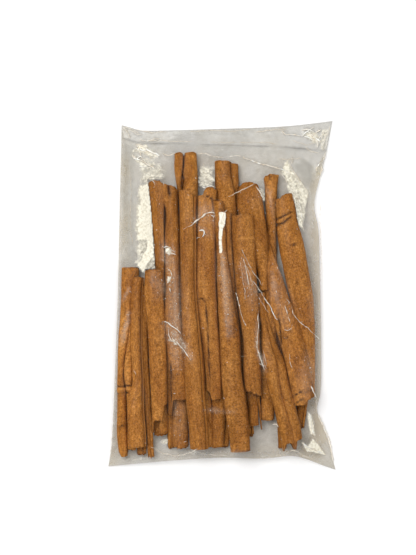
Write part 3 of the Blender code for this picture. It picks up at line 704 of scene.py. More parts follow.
def quill_arrays(index, fine, stations, lift, ragged, form="scroll", flat=USUAL_FLAT, turns=1.5, tint=0.5,
                 seam=USUAL_SEAM, share=((0, 0.5),), gap=((0, 0.4),), nicks=(), marks=()):
    """One quill as places, quads and its bark's attributes.

    Rings run from head to foot. Each has the outer face of the wall from one edge of the bark to the other
    and the inner face back, half a wall either side of the section's line, along its normal. The two ends are
    closed by strips between both faces. Each end is broken by noise along the bark's width, and its sides are
    worn back as a circle's are. fine is points round the bark and mm from ring to ring.
    """
    points, step = fine
    top, bottom = stations[0][0], stations[-1][0]
    length = top - bottom
    s = np.linspace(0, 1, points)[None, :]
    from_head = np.linspace(0, 1, int(length / step) + 2)[:, None]

    def section(y):
        middle_x, width, under, flatness = shape_at(y, stations, lift, flat)
        wide = width * (1 + 0.02 * ripple(index * 1.7, y / 17, 0.5))
        if form == "scroll":
            edge = at_stations(y, seam) + 7 * ripple(index * 2.3, y / 45, 1.5)
            edge = edge + 2 * ripple(index * 2.7, y / 6, 0.5)
            x, z, side = scroll_section(s, wide, turns, edge)
        else:
            slit = at_stations(y, gap) * (1 + 0.4 * ripple(index * 2.9, y / 13, 3.5))
            left = at_stations(y, share) + 0.02 * ripple(index * 3.3, y / 9, 1.5)
            x, z, side = twin_section(s, wide, left, slit)
        tall = flatness * width
        return fitted(x, wide - WALL), fitted(z, tall - WALL), side, middle_x, width, under + 0.5 * tall

    def chips(end):
        small = np.abs(ripple(index + 9 * end, s * 31, 2.5))
        return np.abs(ripple(index * 3.1 + end, s * 9, 0.5)) + 0.45 * small

    x, _, side, _, _, _ = section(top - from_head * length + 0 * s)
    worn = DOME * (1 - np.sqrt(1 - np.clip(side, 0, 1) ** 2))
    lacks = {"head": ragged[0] * chips(1) + worn[:1], "foot": ragged[1] * chips(2) + worn[-1:]}
    for end, left, right, depth in nicks:
        row = x[:1] if end == "head" else x[-1:]
        inside = np.clip(1 + (row - left) / 0.5, 0, 1) * np.clip(1 + (right - row) / 0.5, 0, 1)
        lacks[end] = lacks[end] + depth * inside
    start, stop = lacks["head"], lacks["foot"]
    down = start + from_head * (length - start - stop)
    y = top - down
    x, z, _, middle_x, width, height = section(y)
    slope = shape_at(y + 0.5, stations, lift, flat)[0] - shape_at(y - 0.5, stations, lift, flat)[0]
    along_x, along_z = np.gradient(x, axis=1), np.gradient(z, axis=1)
    size = np.hypot(along_x, along_z) + 1e-9
    normal_x, normal_z = along_z / size, -along_x / size
    facing_out = np.sign(np.median(normal_x * x + normal_z * z))
    normal_x, normal_z = normal_x * facing_out, normal_z * facing_out

    arc = s * np.pi * width * (turns if form == "scroll" else TWIN_TURNS)
    relief = (
        0.05 * ripple(index * 5.1, arc / 2.1, down / 20)
        + 0.16 * ripple(index * 6.1, arc / 5.5, down / 17)
        + 0.12 * ripple(index * 6.7, arc / 3.4, down / 4.2)
        + 0.05 * ripple(index * 7.3, arc / 1.5, down / 2.6)
    )
    mark = np.zeros(y.shape)
    for line, half, depth in marks:
        near, along = distance_to(line, middle_x + x, y)
        cut = bell(near, half) * (0.3 + 0.7 * faded(along, 8)) * (normal_z > 0)
        relief = relief - depth * cut
        mark = mark + np.sign(depth) * cut
    faces = []
    for offset in (0.5 * WALL + relief, -0.5 * WALL + 0 * relief):
        px, pz = x + normal_x * offset, z + normal_z * offset
        faces.append(np.stack([middle_x + px, y + px * -slope, height + pz], axis=-1))
    loop = np.concatenate([faces[0], faces[1][:, ::-1]], axis=1)
    bark = np.stack([arc, down + 0 * arc, 0 * arc + index * 13.7], axis=-1)
    bark = np.concatenate([bark, (bark + INNER_SHIFT)[:, ::-1]], axis=1)
    inner = np.concatenate([np.zeros(arc.shape), np.ones(arc.shape)], axis=1)
    mark = np.concatenate([mark, mark[:, ::-1]], axis=1)

    ids, tube = tube_quads(*loop.shape[:2])
    skin, core = ids[:, :points], ids[:, points:][:, ::-1]
    head_cap = np.stack([skin[0, :-1], core[0, :-1], core[0, 1:], skin[0, 1:]], axis=-1)
    foot_cap = np.stack([skin[-1, :-1], skin[-1, 1:], core[-1, 1:], core[-1, :-1]], axis=-1)
    places = loop.reshape(-1, 3)
    quads = outward(places, np.concatenate([tube, head_cap, foot_cap]))
    attributes = {"bark": bark.reshape(-1, 3), "inner": inner.ravel(), "mark": mark.ravel()}
    attributes["tint"] = np.full(len(places), tint)
    return places, quads, attributes


def quill_piece(name, quills, first, fine):
    """Some quills as one mesh, with their noise numbered from first."""
    return joined_piece(name, [quill_arrays(first + i, fine, **quill) for i, quill in enumerate(quills)])


def side_line(points, shares):
    """Points at these shares of the length of the smooth line through the given points."""
    dense = smooth_line(points, np.linspace(0, 1, 400))
    passed = np.append(0, np.cumsum(np.hypot(*np.diff(dense, axis=0).T)))
    at = np.asarray(shares) * passed[-1]
    return np.stack([np.interp(at, passed, dense[:, axis]) for axis in (0, 1)], axis=1)


def bag_plan(u, v):
    """Where the flat film's point at shares u across and v up lies in the filled bag, as x and y in mm.

    A Coons patch of the four sides: the two blends between facing sides, less the blend of the corners.
    """
    left = side_line([CORNER_FOOT_LEFT, *LEFT_SIDE, CORNER_MOUTH_LEFT], v)
    right = side_line([CORNER_FOOT_RIGHT, *RIGHT_SIDE, CORNER_MOUTH_RIGHT], v)
    foot = side_line([CORNER_FOOT_LEFT, *FOOT_SIDE, CORNER_FOOT_RIGHT], u)
    mouth = side_line([CORNER_MOUTH_LEFT, *MOUTH_SIDE, CORNER_MOUTH_RIGHT], u)
    u, v = np.asarray(u)[:, None], np.asarray(v)[:, None]
    corners = (
        (1 - u) * (1 - v) * np.array(CORNER_FOOT_LEFT)
        + u * (1 - v) * np.array(CORNER_FOOT_RIGHT)
        + (1 - u) * v * np.array(CORNER_MOUTH_LEFT)
        + u * v * np.array(CORNER_MOUTH_RIGHT)
    )
    return (1 - u) * left + u * right + (1 - v) * foot + v * mouth - corners


def tops_of_quills(x, y, margin=0.6):
    """Height of the highest bark over each place, or 0: half an ellipse over each quill and its margin."""
    top = np.zeros_like(x)
    for quill in [*UPPER_QUILLS.values(), *LOWER_QUILLS.values()]:
        stations, flat = quill["stations"], quill.get("flat", USUAL_FLAT)
        middle_x, width, under, flatness = shape_at(y, stations, quill["lift"], flat)
        across = (x - middle_x) / (0.5 * width + margin)
        rise = 0.5 * flatness * width * (1 + np.sqrt(np.clip(1 - across**2, 0, 1)))
        over = (np.abs(across) < 1) & (y > stations[-1][0] - margin) & (y < stations[0][0] + margin)
        top = np.where(over, np.maximum(top, under + rise), top)
    return top


def seam_height(u, v):
    """Height of the film's edge: raised along the sides and the foot, and low at the corners."""
    side = (SIDE_SEAM_HEIGHT - CORNER_HEIGHT) * 4 * v * (1 - v) * np.abs(2 * u - 1) ** 3
    foot = (FOOT_SEAM_HEIGHT - CORNER_HEIGHT) * 4 * u * (1 - u) * (1 - v) ** 6
    return CORNER_HEIGHT + np.maximum(side, foot)


def film_arrays(columns, rows):
    """Shares, plan and edge distance of a grid over the film."""
    u, v = np.meshgrid(np.linspace(0, 1, columns + 1), np.linspace(0, 1, rows + 1))
    plan = bag_plan(u.ravel(), v.ravel())
    edge = np.minimum(np.minimum(u, 1 - u) * FILM_WIDTH, np.minimum(v, 1 - v) * FILM_LENGTH)
    return u, v, plan[:, 0].reshape(u.shape), plan[:, 1].reshape(u.shape), edge


def grid_quads(columns, rows):
    """The quads of a grid, from the numbers of its points row by row."""
    ids = np.arange((columns + 1) * (rows + 1)).reshape(rows + 1, columns + 1)
    return np.stack([ids[:-1, :-1], ids[:-1, 1:], ids[1:, 1:], ids[1:, :-1]], axis=-1).reshape(-1, 4)


def draped(u, v, x, y, edge):
    """Height of the upper film: a skin pulled over the bark, level with the seams at its edge.

    It starts from slopes that fall away from the bark, then each place takes the mean of its four
    neighbours less a little suck, but never less than the bark's top or the seam's own height.
    """
    seam = seam_height(u, v)
    bark = tops_of_quills(x, y)
    held = np.where(bark > 0, bark + FILM_CLEARANCE, 0)
    z = np.maximum(held, seam)
    for reach in (12, 6, 3):
        for axis in (0, 1):
            for shift in (-reach, reach):
                z = np.maximum(z, np.roll(z, shift, axis) - TENT_SLOPE * reach * GRID_STEP)
    ceiling = np.maximum(seam + EDGE_SLOPE * edge, held)
    for _ in range(SAG_STEPS):
        inner = 0.25 * (z[:-2, 1:-1] + z[2:, 1:-1] + z[1:-1, :-2] + z[1:-1, 2:]) - FILM_SUCK
        z[1:-1, 1:-1] = np.maximum(np.maximum(inner, held[1:-1, 1:-1]), LOWEST_FILM)
        z = np.minimum(z, ceiling)
        z[0], z[-1], z[:, 0], z[:, -1] = seam[0], seam[-1], seam[:, 0], seam[:, -1]
    return z, held


def patch(outline, x, y, soft):
    """1 inside an outline and 0 outside it, with an edge that is soft mm wide.

    A place is inside when a line from it to the right crosses the outline an odd number of times.
    """
    inside = np.zeros(x.shape, bool)
    for (ax, ay), (bx, by) in zip(outline, outline[1:] + outline[:1]):
        if ay != by:
            inside ^= ((ay > y) != (by > y)) & (x < (bx - ax) * (y - ay) / (by - ay) + ax)
    near, _ = distance_to(outline + outline[:1], x, y)
    return np.clip(0.5 + np.where(inside, near, -near) / soft, 0, 1)


def crinkles(x, y):
    """Sharp creases of slack film: one less the size of noise, itself shifted by noise, kept near 1."""
    wx = x + 5 * ripple(21, x / 14, y / 18)
    wy = y + 5 * ripple(22, x / 15, y / 13)
    fold = 1 - np.abs(ripple(23, wx / 11, wy / 13))
    fine = 1 - np.abs(ripple(24, wx / 4.5, wy / 5.5))
    return np.clip(fold - 0.82, 0, 1) / 0.18, np.clip(fine - 0.8, 0, 1) / 0.2


def film_front():
    """The upper film as a piece, and its plan and height as arrays.

    Its height is the draped skin's, raised under the folds, by crinkles where it is slack, and over the flap
    and the creases. Its attributes are how strongly the painted glare, shade and sheen, the flap and the
    creases' painted shade lie on it, moved a little by noise.
    """
    u, v, x, y, edge = film_arrays(FILM_COLUMNS, FILM_ROWS)
    z, held = draped(u, v, x, y, edge)
    inside = np.clip(edge / 4, 0, 1)
    slack = np.clip((z - held) / 3, 0, 1)
    lift, haze, crease = np.zeros_like(z), np.zeros_like(z), np.zeros_like(z)
    for line, half, glint in GLINT_FOLDS:
        near, share = distance_to(line, x, y)
        lift = np.maximum(lift, 0.45 * glint * bell(near, half + 0.5) * faded(share, 6))
    moved_x, moved_y = 1.1 * ripple(51, x / 3.1, y / 3.4), 1.1 * ripple(52, x / 3.3, y / 2.9)
    masks = {}
    for name, patches, moved in (("painted_glare", CREAM_GLARES, 0.8), ("glare", GLARES, 0.35), ("painted_shade", SHADE_PATCHES, 1.0)):
        px, py = x + moved * moved_x, y + moved * moved_y
        strengths = [strength * patch(outline, px, py, soft) for outline, soft, strength in patches]
        masks[name] = np.max(strengths, axis=0)
    beside = tops_of_quills(x, y, 0.1) == 0
    # painted glare: the creamy patches only beside the quills, the glares over them too
    masks["painted_glare"] = np.maximum(masks["painted_glare"] * beside, masks.pop("glare"))
    for line, half, strength in SHEEN_LINES:
        near, share = distance_to(line, x + moved_x, y + moved_y)
        haze = np.maximum(haze, strength * (0.4 + 0.6 * faded(share, 3)) * bell(near, half))
    fold, fine = crinkles(x, y)
    crumpled = 0.25 + 0.75 * masks["painted_glare"]
    lift += (0.35 * fold * (0.06 + 0.94 * slack) + 0.16 * fine * (0.15 + 0.85 * slack) * crumpled) * inside
    lift += 0.25 * ripple(31, x / 16, y / 22) * slack * inside
    # painted shade along the creases, which also lift the film a little
    for line, half, strength in SHADED_CREASES:
        near, _ = distance_to(line, x, y)
        crease = np.maximum(crease, strength * bell(near, half))
    crease *= np.clip(0.8 + 0.5 * ripple(57, x / 9, y / 9), 0.3, 1)
    fold_y = np.interp(x, [p[0] for p in MOUTH_FOLD], [p[1] for p in MOUTH_FOLD])
    flap = np.clip((y - fold_y) / 0.8, 0, 1)
    lift += (0.35 * flap + 0.45 * crease) * inside
    # a thin painted shade along the film's edge
    masks["painted_shade"] = np.maximum(masks["painted_shade"], 0.5 * bell(edge, 0.7))
    masks.update(haze=haze, flap=flap, crease=crease)
    z = z + lift
    places = np.stack([x, y, z], axis=-1).reshape(-1, 3)
    quads = grid_quads(FILM_COLUMNS, FILM_ROWS)
    piece = mesh_piece("film_front", places, quads, **{name: mask.ravel() for name, mask in masks.items()})
    return piece, (x, y, z)


def sampled(grid, u, v):
    """A grid's values at shares u and v, blended between the four points round each."""
    rows, columns = grid.shape
    a, b = np.clip(u, 0, 1) * (columns - 1), np.clip(v, 0, 1) * (rows - 1)
    i, j = np.minimum(a.astype(int), columns - 2), np.minimum(b.astype(int), rows - 2)
    a, b = a - i, b - j
    low = grid[j, i] * (1 - a) + grid[j, i + 1] * a
    high = grid[j + 1, i] * (1 - a) + grid[j + 1, i + 1] * a
    return low * (1 - b) + high * b


def height_of_film(film, x, y):
    """Height of the film over x and y: the shares are moved by the plan's error at them until it is gone."""
    grid_x, grid_y, grid_z = film
    u, v = x / PLAN_WIDTH + 0.5, y / PLAN_LENGTH + 0.5
    for _ in range(8):
        u = np.clip(u + (x - sampled(grid_x, u, v)) / PLAN_WIDTH, 0, 1)
        v = np.clip(v + (y - sampled(grid_y, u, v)) / PLAN_LENGTH, 0, 1)
    return sampled(grid_z, u, v)


def fold_arrays(index, line, half, glint, film):
    """One fold as places, quads and its painted highlight: a ridge with four sides on the film along a smooth
    line.

    The line wanders sideways by noise. The ridge is half wide to each side, times noise and a taper that
    comes to a point at both ends, and a third as tall as it is half wide.
    """
    length = np.hypot(*np.diff(np.array(line, float), axis=0).T).sum()
    share = np.linspace(0, 1, max(6, int(length / FOLD_STEP)))
    at = share * length
    x, y = smooth_line(line, share).T
    way_x, way_y = np.gradient(x), np.gradient(y)
    size = np.hypot(way_x, way_y)
    side_x, side_y = -way_y / size, way_x / size
    wander = 0.45 * ripple(index + 0.3, at / 3.1, 0.5) + 0.16 * ripple(index + 0.7, at / 0.9, 2.5)
    x, y = x + side_x * wander, y + side_y * wander
    taper = np.clip(np.minimum(share, 1 - share) * length / 1.6, 0.08, 1)
    wide = half * taper * np.clip(0.68 + 0.55 * ripple(index + 1.9, at / 1.5, 4.5), 0.12, 1.2)
    corners = []
    for across, up in [(-1, 0.02), (0, 1), (1, 0.02), (0, -0.4)]:
        cx, cy = x + side_x * wide * across, y + side_y * wide * across
        corners.append(np.stack([cx, cy, height_of_film(film, cx, cy) + 0.05 + up * 0.32 * wide], axis=-1))
    places = np.stack(corners, axis=1).reshape(-1, 3)
    ids, tube = tube_quads(len(share), 4)
    quads = outward(places, np.concatenate([tube, ids[:1, ::-1], ids[-1:]]))
    # strength of the painted highlight along the fold
    glow = glint * np.clip(0.75 + 0.6 * ripple(index + 2.3, at / 2.2, 6.5), 0.15, 1.1)
    return places, quads, {"glint": np.repeat(glow, 4)}


def speck_arrays(film, shown):
    """Small creases as flat six-sided slivers with painted glints, at random places, kept mostly where the
    film has its painted sheen and glare.

    Corners are the middle plus and minus half a length along and half a width across, 0.12 mm above the film
    and 0.08 mm below it. shown gives the share that is kept at each place.
    """
    random = np.random.default_rng(7)
    x, y = random.uniform(-66, 66, GLINT_SPECKS * 9), random.uniform(-108, 110, GLINT_SPECKS * 9)
    keep = random.uniform(0, 1, x.size) < shown(x, y)
    x, y = x[keep][:GLINT_SPECKS], y[keep][:GLINT_SPECKS]
    count = x.size
    slanted = random.uniform(0, 1, count) < 0.55
    angle = np.where(slanted, random.normal(-0.9, 0.45, count), random.uniform(0, 3.2, count))[:, None]
    long = 0.32 * np.exp(random.normal(0, 0.6, count))[:, None]
    wide = 0.13 * np.exp(random.normal(0, 0.4, count))[:, None]
    glow = np.clip(random.uniform(0.2, 0.95, count) ** 2.2, 0, 1)
    along, across = np.array([1, 0, -1, 0.0]), np.array([0, 1, 0, -1.0])
    cx = x[:, None] + long * along * np.cos(angle) - wide * across * np.sin(angle)
    cy = y[:, None] + long * along * np.sin(angle) + wide * across * np.cos(angle)
    cz = height_of_film(film, cx, cy)
    places = np.concatenate([np.stack([cx, cy, cz + up], axis=-1) for up in (0.12, -0.08)], axis=1)
    box = np.array([(0, 1, 2, 3), (7, 6, 5, 4), (0, 4, 5, 1), (1, 5, 6, 2), (2, 6, 7, 3), (3, 7, 4, 0)])
    quads = (np.arange(count)[:, None, None] * 8 + box[None]).reshape(-1, 4)
    return places.reshape(-1, 3), quads, {"glint": np.repeat(glow, 8)}


def film_glint_folds(film):
    """The upper film's creases with painted highlights, and painted glinting specks between them, as one
    piece.
    """

    def shown(x, y):
        share = np.full(x.shape, 0.02)
        for line, half, strength in SHEEN_LINES:
            near, _ = distance_to(line, x, y)
            share = np.maximum(share, 3.2 * strength * bell(near, half))
        for outline, soft, strength in CREAM_GLARES + GLARES:
            share = np.maximum(share, 0.35 * strength * patch(outline, x, y, soft))
        return share

    parts = [fold_arrays(3 * i, *fold, film) for i, fold in enumerate(GLINT_FOLDS)]
    return joined_piece("film_glint_folds", [*parts, speck_arrays(film, shown)])


def film_back():
    """The lower film: at the seam's height round the edge, and within 9 mm of it down flat on the floor.

    It is denser, so darker with painted shade and warmer with a painted reflection of the bark, at the right
    side and at the foot, but for its right corner.
    """
    columns, rows = FILM_COLUMNS // 2, FILM_ROWS // 2
    u, v, x, y, edge = film_arrays(columns, rows)
    fall = ease(np.clip(edge / FALL, 0, 1))
    z = seam_height(u, v) * (1 - fall) + FLOOR_GAP * fall
    z += (FLOOR_GAP * (1 + ripple(41, x / 9, y / 12))) * fall
    # how strongly the painted shade and the painted reflection of the bark lie on the lower film
    dense = 0.25 * np.clip((108 - y) / 28, 0, 1) + 0.18 * np.clip((-60 - x) / 4, 0, 1)
    dense = np.maximum(dense, 0.85 * np.clip((x - 54) / 10, 0, 1) * np.clip((92 - y) / 20, 0, 1))
    dense = np.maximum(dense, 0.8 * np.clip((-98 - y) / 8, 0, 1) * np.clip((x + 75) / 70, 0.2, 1))
    dense *= 1 - 0.55 * np.clip((x - 58) / 8, 0, 1) * np.clip((-96 - y) / 8, 0, 1)
    dense += 0.16 * ripple(43, x / 13, y / 17) + 0.12 * ripple(44, x / 5, y / 6)
    places = np.stack([x, y, z], axis=-1).reshape(-1, 3)
    return mesh_piece("film_back", places, grid_quads(columns, rows)[:, ::-1], dense=dense.ravel())


def add(tree, kind, values=(), **settings):
    """A node of this kind, with its settings and its input values or links."""
    node = tree.nodes.new(kind)
    for key, value in settings.items():
        setattr(node, key, value)
    for key, value in dict(values).items():
        if isinstance(value, bpy.types.NodeSocket):
            tree.links.new(value, node.inputs[key])
        else:
            node.inputs[key].default_value = value
    return node


def maths(tree, operation, first, second=0.0, clamp=False):
    """One operation on two numbers."""
    return add(tree, "ShaderNodeMath", {0: first, 1: second}, operation=operation, use_clamp=clamp).outputs[0]


def times(tree, first, second, clamp=False):
    """The product of two numbers."""
    return maths(tree, "MULTIPLY", first, second, clamp)


def plus(tree, first, second, weight, clamp=False):
    """The first number plus weight times the second."""
    return maths(tree, "ADD", first, times(tree, second, weight), clamp)


def ramp(tree, factor, *stops):
    """A colour ramp, with a place and a colour for each stop."""
    node = add(tree, "ShaderNodeValToRGB", {"Fac": factor})
    points = node.color_ramp.elements
    while len(points) < len(stops):
        points.new(0.5)
    for point, (place, colour) in zip(points, stops):
        point.position = place
        point.color = (*colour, 1.0)
    return node.outputs["Color"]


def mix(tree, factor, first, second, blend="MIX"):
    """Two colours mixed by a factor, or multiplied."""
    first, second = (c if isinstance(c, bpy.types.NodeSocket) else (*c, 1.0) for c in (first, second))
    values = {0: factor, 6: first, 7: second}
    return add(tree, "ShaderNodeMix", values, data_type="RGBA", blend_type=blend).outputs[2]


def noise(tree, vector, scale, detail, roughness=0.5, distortion=0.0):
    """Noise from 0 to 1, with a scale for each axis or one for all."""
    if isinstance(scale, tuple):
        vector = add(tree, "ShaderNodeVectorMath", {0: vector, 1: scale}, operation="MULTIPLY").outputs[0]
        scale = 1.0
    values = {"Vector": vector, "Scale": scale, "Detail": detail, "Roughness": roughness}
    return add(tree, "ShaderNodeTexNoise", {**values, "Distortion": distortion}).outputs["Fac"]


def bark_grain():
    """Colour, roughness and relief of cinnamon bark, from mm around it, mm down its length and a seed."""
    group = bpy.data.node_groups.new("bark_grain", "ShaderNodeTree")
    for name, kind in (("Bark", "Vector"), ("Tint", "Float"), ("Inner", "Float"), ("Mark", "Float")):
        group.interface.new_socket(name, in_out="INPUT", socket_type="NodeSocket" + kind)
    for name, kind in (("Color", "Color"), ("Roughness", "Float"), ("Height", "Float")):
        group.interface.new_socket(name, in_out="OUTPUT", socket_type="NodeSocket" + kind)
    given = group.nodes.new("NodeGroupInput").outputs
    result = group.nodes.new("NodeGroupOutput").inputs

    broad = noise(group, given["Bark"], (0.10, 0.030, 1.0), 3.0, 0.6)
    streak = noise(group, given["Bark"], (0.60, 0.075, 1.0), 4.0, 0.55)
    mottle = noise(group, given["Bark"], (0.34, 0.24, 1.0), 4.0, 0.62)
    grain = noise(group, given["Bark"], (1.05, 0.80, 1.0), 4.0, 0.72)
    speck = noise(group, given["Bark"], (2.1, 1.8, 1.0), 2.0, 0.55)
    wrinkle = noise(group, given["Bark"], (0.16, 1.10, 1.0), 3.0, 0.55)

    colour = ramp(group, broad, (0.32, BARK_DARK), (0.5, BARK), (0.70, BARK_PALE))
    for part, strength, darker, white, lighter in (
        (streak, 0.7, (0.34, (0.78, 0.76, 0.73)), 0.5, (0.66, (1.12, 1.13, 1.16))),
        (mottle, 0.85, (0.32, (0.72, 0.68, 0.62)), 0.5, (0.68, (1.20, 1.23, 1.30))),
        (grain, 0.9, (0.34, (0.47, 0.42, 0.37)), 0.5, (0.66, (1.50, 1.59, 1.84))),
        (wrinkle, 0.45, (0.34, (0.74, 0.70, 0.66)), 0.46, (0.66, (1.08, 1.08, 1.08))),
    ):
        colour = mix(group, strength, colour, ramp(group, part, darker, (white, WHITE), lighter), "MULTIPLY")
    pits = ramp(group, speck, (0.30, WHITE), (0.40, (0.0, 0.0, 0.0)))
    colour = mix(group, times(group, pits, 0.4), colour, PIT)
    tint = ramp(group, given["Tint"], (0.0, (0.80, 0.785, 0.77)), (0.5, WHITE), (1.0, (1.25, 1.28, 1.30)))
    colour = mix(group, 1.0, colour, tint, "MULTIPLY")
    # cracks painted nearly black as shade in them, ridges painted lighter as a highlight
    colour = mix(group, times(group, given["Mark"], 1.1, clamp=True), colour, CRACK_SHADE)
    colour = mix(group, times(group, given["Mark"], -0.5, clamp=True), colour, RIDGE_HIGHLIGHT)
    colour = mix(group, times(group, given["Inner"], 0.75), colour, BARK_INSIDE)
    group.links.new(colour, result["Color"])

    rough = add(group, "ShaderNodeMapRange", {"Value": grain, "To Min": 0.72, "To Max": 0.9})
    group.links.new(rough.outputs["Result"], result["Roughness"])
    height = times(group, streak, 0.25)
    for part, weight in ((grain, 0.8), (mottle, 0.5), (wrinkle, 0.25), (pits, -0.25)):
        height = plus(group, height, part, weight)
    group.links.new(height, result["Height"])
    return group


def new_material(name, **inputs):
    """A material, its nodes and its shader, with values for the shader's inputs."""
    material = bpy.data.materials.new(name)
    material.use_nodes = True
    shader = material.node_tree.nodes["Principled BSDF"]
    for key, value in inputs.items():
        shader.inputs[key.replace("_", " ")].default_value = value
    return material, material.node_tree, shader


def attribute(tree, name, output="Fac"):
    """An attribute of the mesh."""
    return add(tree, "ShaderNodeAttribute", attribute_name=name).outputs[output]


def bark_material():
    """Rolled bark: its grain as colour, roughness and bumps, with hardly any shine."""
    material, tree, shader = new_material("cinnamon_bark_rolled", Specular_IOR_Level=0.12)
    values = {name: attribute(tree, name.lower()) for name in ("Tint", "Inner", "Mark")}
    values["Bark"] = attribute(tree, "bark", "Vector")
    grain = add(tree, "ShaderNodeGroup", values, node_tree=bark_grain()).outputs
    tree.links.new(grain["Color"], shader.inputs["Base Color"])
    tree.links.new(grain["Roughness"], shader.inputs["Roughness"])
    bump = add(tree, "ShaderNodeBump", {"Strength": 0.8, "Distance": 0.0007, "Height": grain["Height"]})
    tree.links.new(bump.outputs["Normal"], shader.inputs["Normal"])
    return material


def film_waves():
    """Relief of slack film, from Object coordinates."""
    group = bpy.data.node_groups.new("film_waves", "ShaderNodeTree")
    group.interface.new_socket("Place", in_out="INPUT", socket_type="NodeSocketVector")
    group.interface.new_socket("Height", in_out="OUTPUT", socket_type="NodeSocketFloat")
    place = group.nodes.new("NodeGroupInput").outputs["Place"]
    result = group.nodes.new("NodeGroupOutput").inputs
    group.links.new(noise(group, place, 130.0, 3.0, 0.5, 1.2), result["Height"])
    return group


def film_bump(tree, waves, place, strength):
    """The film's relief as a normal, this strong."""
    height = add(tree, "ShaderNodeGroup", {"Place": place}, node_tree=waves).outputs["Height"]
    values = {"Strength": strength, "Distance": 0.0012, "Height": height}
    return add(tree, "ShaderNodeBump", values).outputs["Normal"]


def front_film_material(waves):
    """Clear film: a mirror-like skin, seen more where it turns away, with creamy painted glare where it is
    crumpled, a painted sheen in places, and painted shade in patches and along its creases.
    """
    material, tree, shader = new_material("clear_film_front", Roughness=0.36)
    place = add(tree, "ShaderNodeTexCoord").outputs["Object"]
    normal = film_bump(tree, waves, place, 0.2)
    facing = add(tree, "ShaderNodeLayerWeight", {"Blend": 0.5, "Normal": normal}).outputs["Facing"]
    mottle = noise(tree, place, 620.0, 3.0, 0.6)
    cloud = noise(tree, place, 150.0, 4.0, distortion=1.5)
    names = ("painted_glare", "painted_shade", "haze", "flap", "crease")
    painted_glare, painted_shade, haze, flap, crease = (attribute(tree, name) for name in names)
    spread = plus(tree, times(tree, mottle, 1.1), cloud, 1.5)
    painted_glare = maths(tree, "SUBTRACT", plus(tree, painted_glare, spread, 0.65), 1.11)
    painted_glare = times(tree, painted_glare, 1.6, clamp=True)
    haze = times(tree, haze, maths(tree, "SUBTRACT", spread, 0.5), clamp=True)

    alpha = maths(tree, "ADD", times(tree, maths(tree, "POWER", facing, 4.0), 0.10), 0.007)
    for part, weight in ((painted_glare, 0.94), (painted_shade, 0.42), (haze, 0.75), (flap, 0.06), (crease, 0.42)):
        alpha = plus(tree, alpha, part, weight, clamp=True)
    tree.links.new(alpha, shader.inputs["Alpha"])
    # the painted glare's creamy colour, mottled by noise
    glare_colour = ramp(tree, mottle, (0.36, GLARE_DARK), (0.46, GLARE_MID), (0.60, GLARE_PALE))
    # painted shade, shade in creases, painted sheen and painted glare, over the film's clear colour
    colour = CLEAR
    layers = ((painted_shade, 2.5, SHADE_GREY), (crease, 1.5, CREASE_SHADE), (haze, 6.0, SHEEN), (painted_glare, 3.0, glare_colour))
    for part, strength, own in layers:
        colour = mix(tree, times(tree, part, strength, clamp=True), colour, own)
    tree.links.new(colour, shader.inputs["Base Color"])
    painted = maths(tree, "ADD", maths(tree, "ADD", painted_glare, maths(tree, "ADD", painted_shade, crease)), haze)
    metal = maths(tree, "SUBTRACT", 1.0, times(tree, painted, 4.0), clamp=True)
    tree.links.new(metal, shader.inputs["Metallic"])
    tree.links.new(normal, shader.inputs["Normal"])
    return material


def fold_material():
    """Creased film with a painted highlight: white, and clearer where the highlight's strength falls."""
    material, tree, shader = new_material("creased_film", Roughness=0.35)
    glint = times(tree, attribute(tree, "glint"), 1.0, clamp=True)
    tree.links.new(glint, shader.inputs["Alpha"])
    tree.links.new(mix(tree, glint, GLINT_DIM, GLINT_BRIGHT), shader.inputs["Base Color"])
    return material


def back_film_material(waves):
    """The lower film, with painted shade for what lies under it, and a painted reflection of the bark where
    it is denser.
    """
    material, tree, shader = new_material("clear_film_back", Roughness=0.45)
    place = add(tree, "ShaderNodeTexCoord").outputs["Object"]
    given = attribute(tree, "dense")
    dense = plus(tree, given, noise(tree, place, 75.0, 5.0, 0.62, 1.2), 1.5)
    dense = plus(tree, dense, maths(tree, "SUBTRACT", noise(tree, place, 330.0, 3.0), 0.6), 0.9)
    limits = {"From Min": 0.25, "From Max": 1.7, "To Min": 0.34, "To Max": 0.58}
    alpha = add(tree, "ShaderNodeMapRange", {"Value": dense, **limits})
    tree.links.new(alpha.outputs["Result"], shader.inputs["Alpha"])
    # painted reflection of the bark, where the lower film is denser
    bark_reflection = times(tree, given, 1.2, clamp=True)
    tree.links.new(mix(tree, bark_reflection, BACK_SHADE, BACK_BARK_REFLECTION), shader.inputs["Base Color"])
    tree.links.new(film_bump(tree, waves, place, 0.25), shader.inputs["Normal"])
    return material


def make_floor():
    """The pale floor, a little below the bag."""
    mesh = bpy.data.meshes.new("floor")
    corners = [(x * FLOOR_SIDE, y * FLOOR_SIDE, FLOOR_DROP) for x, y in ((-1, -1), (1, -1), (1, 1), (-1, 1))]
    mesh.from_pydata(corners, [], [(0, 1, 2, 3)])
    mesh.materials.append(new_material("pale_floor", Base_Color=(*FLOOR, 1.0), Roughness=0.9)[0])
    floor = link_object("floor", mesh)


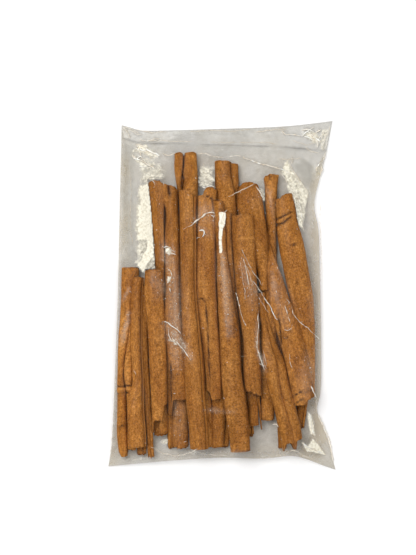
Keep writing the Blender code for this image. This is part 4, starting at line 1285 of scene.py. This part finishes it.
def soft_box(name, place, size, power):
    """A square area light at place, facing the origin."""
    light = bpy.data.lights.new(name, "AREA")
    light.shape = "RECTANGLE"
    light.size = light.size_y = size
    light.energy = power
    obj = link_object(name, light)
    obj.location = place
    x, y, z = place
    obj.rotation_euler = (math.atan2(math.hypot(x, y), z), 0.0, math.atan2(y, x) + math.pi / 2)


def make_light():
    """A key light at the upper left, a weaker one at the lower right, and an even white sky."""
    soft_box("key", (-0.40, 0.36, 1.15), 0.65, 9.4)
    soft_box("fill", (0.45, -0.3, 1.1), 0.8, 2.4)
    world = bpy.data.worlds.new("studio")
    world.use_nodes = True
    sky = world.node_tree.nodes["Background"]
    sky.inputs["Color"].default_value = (*WHITE, 1.0)
    sky.inputs["Strength"].default_value = SKY_STRENGTH
    bpy.context.scene.world = world


def make_camera():
    """A camera straight above, whose picture is as long as the view at the bark's height."""
    lens = bpy.data.cameras.new("camera")
    lens.sensor_width = SENSOR
    lens.lens = SENSOR * (CAMERA_HEIGHT - BARK_HEIGHT) / VIEW_LENGTH
    lens.clip_end = 20.0
    obj = link_object("camera", lens)
    obj.location = (*VIEW_MIDDLE, CAMERA_HEIGHT)
    bpy.context.scene.camera = obj
    bpy.context.scene.view_settings.view_transform = "Standard"


def main():
    """Makes the pieces in place of the bag's solid, then the floor, the light and the camera."""
    upper = list(UPPER_QUILLS.values())
    half = len(upper) // 2
    quills = [
        quill_piece("upper_quills_outer", upper[:half], UPPER_FIRST, UPPER_FINE),
        quill_piece("upper_quills_middle", upper[half:], UPPER_FIRST + half, UPPER_FINE),
        quill_piece("lower_quills", LOWER_QUILLS.values(), LOWER_FIRST, LOWER_FINE),
    ]
    bark = bark_material()
    for piece in quills:
        piece.data.materials.append(bark)
    front, film = film_front()
    films = [front, film_glint_folds(film), film_back()]
    waves = film_waves()
    materials = [front_film_material(waves), fold_material(), back_film_material(waves)]
    for piece, material in zip(films, materials):
        piece.data.materials.append(material)
    for piece in quills + films:
        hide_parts(NODE)
        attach(piece, "root")
    make_floor()
    make_light()
    make_camera()


main()
